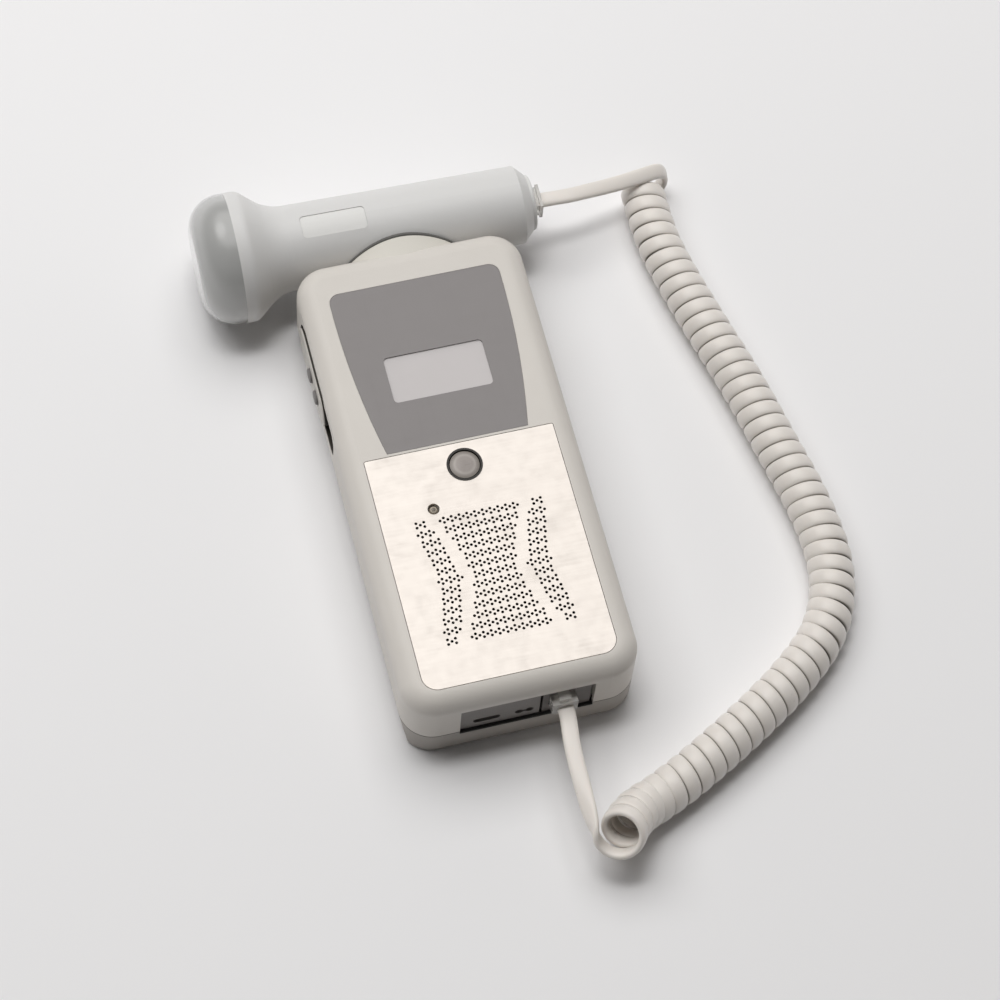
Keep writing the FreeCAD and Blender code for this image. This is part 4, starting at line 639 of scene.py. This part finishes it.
# ---------------------------------------------------------------- screws
# Zinc-plated steel self-tapping screws with crossed slots: four long ones join the shells, small ones
# hold the board and the cradle. The plating is a little cloudy.
zinc, tree, shader, skin, bump, place = moulded(
    "zinc_plate", srgb(196, 196, 198), 0.30, drift=0.25, grain=1800.0, depth=0.010, Metallic=1.0)
cover(zinc, "case_screws", "board_screws", "cradle_screws")


# ---------------------------------------------------------------- display and its overlay
# A grey screen-printed polyester film is bonded into the front. It is left clear over the display,
# a reflective liquid-crystal module whose dots are off.
OVERLAY_GREY = srgb(132, 128, 127)
overlay_film, tree, shader, skin, bump, place = moulded(
    "overlay_film", OVERLAY_GREY, 0.36, drift=0.04, grain=4200.0, depth=0.005)
wiped = placed(tree, stray_marks, Stretch=(30.0, 1900.0, 30.0), Least=0.60)
rubbed = placed(tree, stray_marks, Stretch=(1500.0, 22.0, 30.0), Least=0.62)
both = node(tree, "Math", operation="MAXIMUM")
dull = node(tree, "Math", {1: 0.10}, operation="MULTIPLY_ADD")
link(
    tree,
    (place.outputs["Object"], wiped.inputs["Place"]),
    (place.outputs["Object"], rubbed.inputs["Place"]),
    (wiped.outputs["Mask"], both.inputs[0]),
    (rubbed.outputs["Mask"], both.inputs[1]),
    (both.outputs[0], dull.inputs[0]),
    (skin.outputs["Roughness"], dull.inputs[2]),
    (dull.outputs[0], shader.inputs["Roughness"]),
)
cover(overlay_film, "front_overlay")

DOT_PITCH, DOT_GAP = 0.56 * MM, 0.045 * MM
DOT_SHADE, GAP_SHADE = (0.93, 0.93, 0.93, 1.0), (0.985, 0.985, 0.985, 1.0)
lcd_glass, tree, shader, skin, bump, place = moulded(
    "lcd_reflector", srgb(204, 200, 199), 0.42, drift=0.05, grain=3000.0, depth=0.002)
dots = node(tree, "TexBrick", {"Scale": 1.0, "Mortar Size": DOT_GAP, "Brick Width": DOT_PITCH,
                               "Row Height": DOT_PITCH, "Mortar": GAP_SHADE, "Color1": DOT_SHADE,
                               "Color2": DOT_SHADE}, offset=0.0, squash=1.0)
tint = node(tree, "Mix", {"Factor": 1.0}, data_type="RGBA", blend_type="MULTIPLY")
link(
    tree,
    (place.outputs["Object"], dots.inputs["Vector"]),
    (skin.outputs["Colour"], tint.inputs["A"]),
    (dots.outputs["Color"], tint.inputs["B"]),
    (tint.outputs["Result"], shader.inputs["Base Color"]),
)
cover(lcd_glass, "display_module")

pane, tree, shader, skin, bump, place = moulded(
    "display_pane", srgb(221, 216, 215), 0.14, drift=0.03, grain=240.0, depth=0.004, Alpha=0.72)
cover(pane, "display_window")


# ---------------------------------------------------------------- speaker plate and speaker
# A satin stainless plate, laser-cut with bands of small holes, lies in a recess of the front. A
# sheet-steel speaker with a paper cone is glued behind it through a foam ring.
PLATE_SATIN = srgb(243, 236, 229)
SMEAR_FROM, SMEAR_FULL, SMEAR_DULLS = 0.52, 0.72, 0.09
plate_steel, tree, shader, skin, bump, place = moulded(
    "satin_steel", PLATE_SATIN, 0.36, drift=0.035, grain=3600.0, depth=0.004, Metallic=1.0)
smears = node(tree, "TexNoise", {"Scale": 60.0, "Detail": 4.0, "Distortion": 1.2})
touched = node(tree, "MapRange", {"From Min": SMEAR_FROM, "From Max": SMEAR_FULL, "To Max": SMEAR_DULLS})
drawn = placed(tree, stray_marks, Stretch=(60.0, 2600.0, 60.0), Least=0.48)
hazed = node(tree, "Math", {1: 0.05}, operation="MULTIPLY_ADD")
dull = node(tree, "Math", operation="ADD")
link(
    tree,
    (place.outputs["Object"], smears.inputs["Vector"]),
    (smears.outputs["Fac"], touched.inputs["Value"]),
    (place.outputs["Object"], drawn.inputs["Place"]),
    (drawn.outputs["Mask"], hazed.inputs[0]),
    (skin.outputs["Roughness"], hazed.inputs[2]),
    (touched.outputs["Result"], dull.inputs[0]),
    (hazed.outputs[0], dull.inputs[1]),
    (dull.outputs[0], shader.inputs["Roughness"]),
)
cover(plate_steel, "speaker_plate")


def from_axis(tree, place, centre, keep=(1.0, 1.0, 0.0)):
    """How far a point is from a line through a centre, in metres: keep holds the two directions
    that count. Returns the socket."""
    shifted = node(tree, "VectorMath", {1: centre}, operation="SUBTRACT")
    flat = node(tree, "VectorMath", {1: keep}, operation="MULTIPLY")
    size = node(tree, "VectorMath", operation="LENGTH")
    link(tree, (place.outputs["Object"], shifted.inputs[0]), (shifted.outputs[0], flat.inputs[0]),
         (flat.outputs[0], size.inputs[0]))
    return size.outputs["Value"]


def colour_rings(tree, distance, most, stops):
    """Colours by distance from a line, from the line out to the most. Returns the socket."""
    share = node(tree, "MapRange", {"From Min": 0.0, "From Max": most})
    band = node(tree, "ValToRGB")
    ramp = band.color_ramp
    ramp.interpolation = "EASE"
    ramp.elements[0].position, ramp.elements[0].color = stops[0]
    ramp.elements[1].position, ramp.elements[1].color = stops[-1]
    for position, colour in stops[1:-1]:
        ramp.elements.new(position).color = colour
    link(tree, (distance, share.inputs["Value"]), (share.outputs["Result"], band.inputs[0]))
    return band.outputs["Color"]


SPEAKER_AXIS = (0.0, -37.0 * MM, 0.0)
SPEAKER_RADIUS, CONE_RIDGE = 20.0 * MM, 1.7 * MM
basket, tree, shader, skin, bump, place = moulded(
    "speaker_basket", srgb(48, 48, 50), 0.42, drift=0.2, grain=1400.0, depth=0.02, Metallic=0.4)
rings = colour_rings(tree, from_axis(tree, place, SPEAKER_AXIS), SPEAKER_RADIUS, [
    (0.0, srgb(150, 150, 152)), (0.50, srgb(142, 142, 144)),
    (0.52, srgb(52, 52, 54)), (1.0, srgb(44, 44, 46))])
link(tree, (rings, skin.inputs["Colour"]))
cover(basket, "speaker")

cone_paper, tree, shader, skin, bump, place = moulded(
    "cone_paper", srgb(58, 52, 48), 0.85, drift=0.3, grain=900.0, depth=0.05)
turning = node(tree, "Math", {1: 2 * math.pi / CONE_RIDGE}, operation="MULTIPLY")
ridge = node(tree, "Math", operation="SINE")
pulp = node(tree, "Math", {1: 1.4}, operation="MULTIPLY_ADD")
link(
    tree,
    (from_axis(tree, place, SPEAKER_AXIS), turning.inputs[0]),
    (turning.outputs[0], ridge.inputs[0]),
    (skin.outputs["Height"], pulp.inputs[0]),
    (ridge.outputs[0], pulp.inputs[2]),
    (pulp.outputs[0], bump.inputs["Height"]),
)
cover(cone_paper, "speaker_cone")

foam, tree, shader, skin, bump, place = moulded(
    "gasket_foam", srgb(40, 39, 38), 0.95, drift=0.35, grain=500.0, depth=0.15)
cells = node(tree, "TexVoronoi", {"Scale": 1800.0})
link(tree, (place.outputs["Object"], cells.inputs["Vector"]),
     (cells.outputs["Distance"], bump.inputs["Height"]))
cover(foam, "speaker_gasket")


# ---------------------------------------------------------------- power button and lamp
# The button is a smoked acrylic dome in a black ring, over a tact switch on the board. The lamp
# beside it is a clear light-emitting diode whose lens stands just proud of the plate.
BUTTON_AXIS, BUTTON_RADIUS = (0.0, -1.5 * MM, 0.0), 5.0 * MM
button_dome, tree, shader, skin, bump, place = moulded(
    "smoked_acrylic", srgb(147, 138, 133), 0.30, drift=0.05, grain=2400.0, depth=0.006,
    Coat_Weight=0.5, Coat_Roughness=0.12)
# The rings paint light and shade into the dome: a highlight ring inside its edge and shade darkening to the
# rim.
rings = colour_rings(tree, from_axis(tree, place, BUTTON_AXIS), BUTTON_RADIUS, [
    (0.0, srgb(142, 134, 129)), (0.45, srgb(147, 139, 134)), (0.62, srgb(164, 157, 151)),
    (0.72, srgb(140, 133, 127)), (0.84, srgb(124, 117, 110)), (1.0, srgb(84, 78, 72))])
link(tree, (rings, skin.inputs["Colour"]))
cover(button_dome, "power_button")
ring_gloss, *_ = moulded("ring_gloss", srgb(38, 35, 32), 0.32, drift=0.15, grain=1600.0, depth=0.008)
cover(ring_gloss, "button_ring")

LAMP_AXIS, LAMP_RADIUS = (-12.5 * MM, -13.7 * MM, 0.0), 1.6 * MM
lamp_lens, tree, shader, skin, bump, place = moulded(
    "lamp_epoxy", srgb(150, 137, 122), 0.12, drift=0.05, grain=700.0, depth=0.004,
    Coat_Weight=1.0, Coat_Roughness=0.04)
# The rings paint the lens's reflections: a dark centre and two bright highlight rings.
rings = colour_rings(tree, from_axis(tree, place, LAMP_AXIS), LAMP_RADIUS, [
    (0.0, srgb(92, 82, 70)), (0.30, srgb(112, 101, 88)), (0.52, srgb(196, 186, 170)),
    (0.72, srgb(128, 117, 103)), (0.88, srgb(176, 166, 152)), (1.0, srgb(104, 94, 82))])
link(tree, (rings, skin.inputs["Colour"]))
cover(lamp_lens, "status_led")


# ---------------------------------------------------------------- circuit boards
# Glass-fibre boards under green solder resist: the main board on posts in the front, a small one
# for the sockets in the back, a third along the probe's handle. A flat ribbon joins the first two.
TRACK_GAP, TRACK_LONG, TRACK_PITCH = 0.22 * MM, 7.5 * MM, 1.27 * MM
PAD_RIM, PAD_CORE = 0.16, 0.13
board_mask, tree, shader, skin, bump, place = moulded(
    "solder_resist", srgb(38, 96, 58), 0.30, drift=0.12, grain=800.0, depth=0.01)
tracks = node(tree, "TexBrick", {"Scale": 1.0, "Mortar Size": TRACK_GAP, "Brick Width": TRACK_LONG,
                                 "Row Height": TRACK_PITCH, "Mortar": srgb(64, 128, 80),
                                 "Color1": srgb(33, 88, 52), "Color2": srgb(38, 96, 58)}, offset=0.37)
pads = node(tree, "TexVoronoi", {"Scale": 260.0})
tinned = node(tree, "MapRange", {"From Min": PAD_RIM, "From Max": PAD_CORE})
plated = node(tree, "Mix", {"B": srgb(198, 198, 190)}, data_type="RGBA")
link(
    tree,
    (place.outputs["Object"], tracks.inputs["Vector"]),
    (tracks.outputs["Color"], plated.inputs["A"]),
    (place.outputs["Object"], pads.inputs["Vector"]),
    (pads.outputs["Distance"], tinned.inputs["Value"]),
    (tinned.outputs["Result"], plated.inputs["Factor"]),
    (plated.outputs["Result"], skin.inputs["Colour"]),
)
cover(board_mask, "main_board", "jack_board", "probe_board")

chip_epoxy, *_ = moulded("chip_epoxy", srgb(46, 46, 48), 0.55, drift=0.15, grain=4200.0, depth=0.02)
cover(chip_epoxy, "board_chips")
switch_nylon, *_ = moulded("switch_nylon", srgb(40, 40, 42), 0.45, drift=0.12, grain=2600.0, depth=0.01)
cover(switch_nylon, "key_switches", "button_switch")

RIBBON_BANDS = 2.5e3 / (2 * math.pi)
ribbon, tree, shader, skin, bump, place = moulded(
    "ribbon_cable", srgb(176, 176, 174), 0.45, drift=0.06, depth=0.2)
strands = node(tree, "TexWave", {"Scale": RIBBON_BANDS, "Distortion": 0.0, "Detail": 0.0},
               wave_type="BANDS", bands_direction="X")
gap = node(tree, "Mix", {"A": srgb(120, 120, 120), "B": srgb(186, 186, 184)}, data_type="RGBA")
link(
    tree,
    (place.outputs["Object"], strands.inputs["Vector"]),
    (strands.outputs["Fac"], gap.inputs["Factor"]),
    (gap.outputs["Result"], skin.inputs["Colour"]),
    (strands.outputs["Fac"], bump.inputs["Height"]),
)
cover(ribbon, "board_ribbon")


# ---------------------------------------------------------------- connector panel and sockets
# A dark grey panel closes the lower end: a long slot for the charger, a two-hole audio socket, and
# beside it the modular jack block that takes the probe's plug. A black foam strip seals it below.
panel_abs, *_ = moulded("panel_abs", srgb(128, 124, 121), 0.42, drift=0.08, grain=2100.0, depth=0.015)
cover(panel_abs, "connector_panel")
cover(foam, "panel_seal")
jack_nylon, *_ = moulded("jack_nylon", srgb(104, 99, 96), 0.40, drift=0.10, grain=2100.0, depth=0.012)
cover(jack_nylon, "probe_jack", "probe_socket")
socket_nylon, *_ = moulded("socket_nylon", srgb(34, 32, 31), 0.45, drift=0.15, grain=2400.0, depth=0.01)
cover(socket_nylon, "charge_socket", "audio_socket")


# ---------------------------------------------------------------- battery bay
# Two cells lie side by side in a black tray behind the door, between nickel-plated contacts. Each
# cell's foot presses on a tapered spring of nickel-plated wire.
tray_abs, *_ = moulded("tray_abs", srgb(46, 45, 45), 0.50, drift=0.12, grain=1700.0, depth=0.02)
cover(tray_abs, "battery_tray")
nickel, *_ = moulded(
    "nickel_plate", srgb(206, 203, 196), 0.26, drift=0.12, grain=1200.0, depth=0.006, Metallic=1.0)
cover(nickel, "battery_terminals")

# A cell's wrap is dark but for a foil band at one end: where that end is along Y, in millimetres,
# and which way along Y it points.
CELL_BANDS = {"battery_1": (57.0, 1.0), "battery_2": (11.0, -1.0)}
BAND_FROM, BAND_FULL = 10.0, 9.6
for name, (band_y, toward) in CELL_BANDS.items():
    wrap, tree, shader, skin, bump, place = moulded(
        name + "_wrap", srgb(74, 82, 96), 0.28, drift=0.05, grain=500.0, depth=0.01, Coat_Weight=0.4)
    lengthwise = node(tree, "SeparateXYZ")
    inside = node(tree, "MapRange", {"From Min": (band_y - BAND_FROM * toward) * MM,
                                     "From Max": (band_y - BAND_FULL * toward) * MM})
    foil = node(tree, "Mix", {"A": srgb(70, 78, 92), "B": srgb(188, 190, 192)}, data_type="RGBA")
    link(
        tree,
        (place.outputs["Object"], lengthwise.inputs[0]),
        (lengthwise.outputs["Y"], inside.inputs["Value"]),
        (inside.outputs["Result"], foil.inputs["Factor"]),
        (foil.outputs["Result"], skin.inputs["Colour"]),
    )
    cover(wrap, name)

SPRING_WIRE, SPRING_TURNS = 0.6 * MM, 3.25
SPRING_WIDE, SPRING_NARROW, SPRING_LONG = 4.4 * MM, 2.4 * MM, 2.5 * MM
SPRING_X, SPRING_Z = 8.0 * MM, 10.2 * MM
SPRING_STEPS, SPRING_RING = 96, 10


def tapered_spring(centre, wide_end, narrow_end):
    """A wire carried along a helix about a line along Y, whose radius shrinks evenly from the
    contact plate to the cell. The rail stands outward from the helix."""
    share = np.linspace(0.0, 1.0, SPRING_STEPS)
    angle = share * SPRING_TURNS * 2 * math.pi
    radius = SPRING_WIDE + (SPRING_NARROW - SPRING_WIDE) * share
    outward = np.column_stack([np.cos(angle), np.zeros(SPRING_STEPS), np.sin(angle)])
    along_y = wide_end + (narrow_end - wide_end) * share
    path = np.array([centre[0], 0.0, centre[1]]) + radius[:, None] * outward
    path[:, 1] = along_y
    rail = path + outward * SPRING_WIRE
    return swept_strip(path, rail, SPRING_WIRE, SPRING_WIRE, around=SPRING_RING, fullness=2.0)


springs = []
low, high = (np.array(corner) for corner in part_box("battery_springs"))
for centre_x, plate_y, toward in [(-SPRING_X, low[1], 1), (SPRING_X, high[1], -1)]:
    wide_end = plate_y + toward * SPRING_WIRE / 2
    narrow_end = plate_y + toward * (SPRING_LONG - SPRING_WIRE / 2)
    springs.append(tapered_spring((centre_x, SPRING_Z), wide_end, narrow_end))
first_count = len(springs[0][0])
coils = mesh_piece(
    "contact_springs",
    np.vstack([springs[0][0], springs[1][0]]),
    springs[0][1] + [[corner + first_count for corner in face] for face in springs[1][1]],
)
coils.data.materials.append(nickel)
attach(coils, "unit")
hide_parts("battery_springs")


# ---------------------------------------------------------------- side keys
# Two grey rubber keys stand in the raised moulding on the left wall, and a black cup lines
# the hollow beyond its end: a dark sheet that paints the shade in the hollow.
key_rubber, *_ = moulded("key_rubber", srgb(118, 115, 114), 0.55, drift=0.10, grain=1500.0, depth=0.02)
cover(key_rubber, "volume_up_key", "volume_down_key")
hollow_shade_cup, *_ = moulded("hollow_shade_cup", srgb(52, 48, 43), 0.60, drift=0.18, grain=1300.0, depth=0.03)
cover(hollow_shade_cup, "recess_pad")


# ---------------------------------------------------------------- probe cradle
# A block of the case's plastic is screwed to the end wall and hollowed for the probe's handle. A
# thin dark elastomer liner shows as a line round its edge and keeps the probe from sliding; its
# dark grey partly paints the shade in the gap between the cradle and the handle.
cradle_abs, *_ = moulded("cradle_abs", srgb(209, 205, 196), 0.42, drift=0.05, grain=2300.0, depth=0.018)
cover(cradle_abs, "probe_cradle")
liner_and_gap_shade, *_ = moulded("liner_and_gap_shade", srgb(96, 95, 92), 0.62, drift=0.12, grain=1500.0, depth=0.02)
cover(liner_and_gap_shade, "cradle_liner")


# ---------------------------------------------------------------- probe
# The handle and its flared head are one smooth white moulding, closed by a glossy grey cap over the
# crystals and by a disc at the tail that lets the plug in. A blank paper label lies in a sunk patch.
PROBE_WHITE = srgb(213, 212, 210)
probe_abs, *_ = moulded("probe_abs", PROBE_WHITE, 0.42, drift=0.04, grain=2300.0, depth=0.018)
cover(probe_abs, "probe_housing", "probe_end_cap")
cap_gloss, *_ = moulded("cap_gloss", srgb(166, 166, 164), 0.18, drift=0.03, grain=900.0, depth=0.003,
                        Coat_Weight=1.0, Coat_Roughness=0.12, Coat_IOR=1.75)
cover(cap_gloss, "probe_face_cap")

paper, tree, shader, skin, bump, place = moulded(
    "label_paper", srgb(224, 223, 220), 0.55, drift=0.04, grain=2600.0, depth=0.01)
fibres = placed(tree, stray_marks, Stretch=(900.0, 5200.0, 900.0), Least=0.56)
sized = node(tree, "Math", {1: 0.6}, operation="MULTIPLY_ADD")
link(tree, (place.outputs["Object"], fibres.inputs["Place"]), (fibres.outputs["Mask"], sized.inputs[0]),
     (skin.outputs["Height"], sized.inputs[2]), (sized.outputs[0], bump.inputs["Height"]))
cover(paper, "probe_label")

ceramic, *_ = moulded("fired_ceramic", srgb(222, 212, 186), 0.35, drift=0.08, grain=3600.0, depth=0.01)
cover(ceramic, "transmit_crystal", "receive_crystal")
loaded_epoxy, *_ = moulded("loaded_epoxy", srgb(92, 86, 80), 0.60, drift=0.4, grain=700.0, depth=0.04)
cover(loaded_epoxy, "crystal_backing")
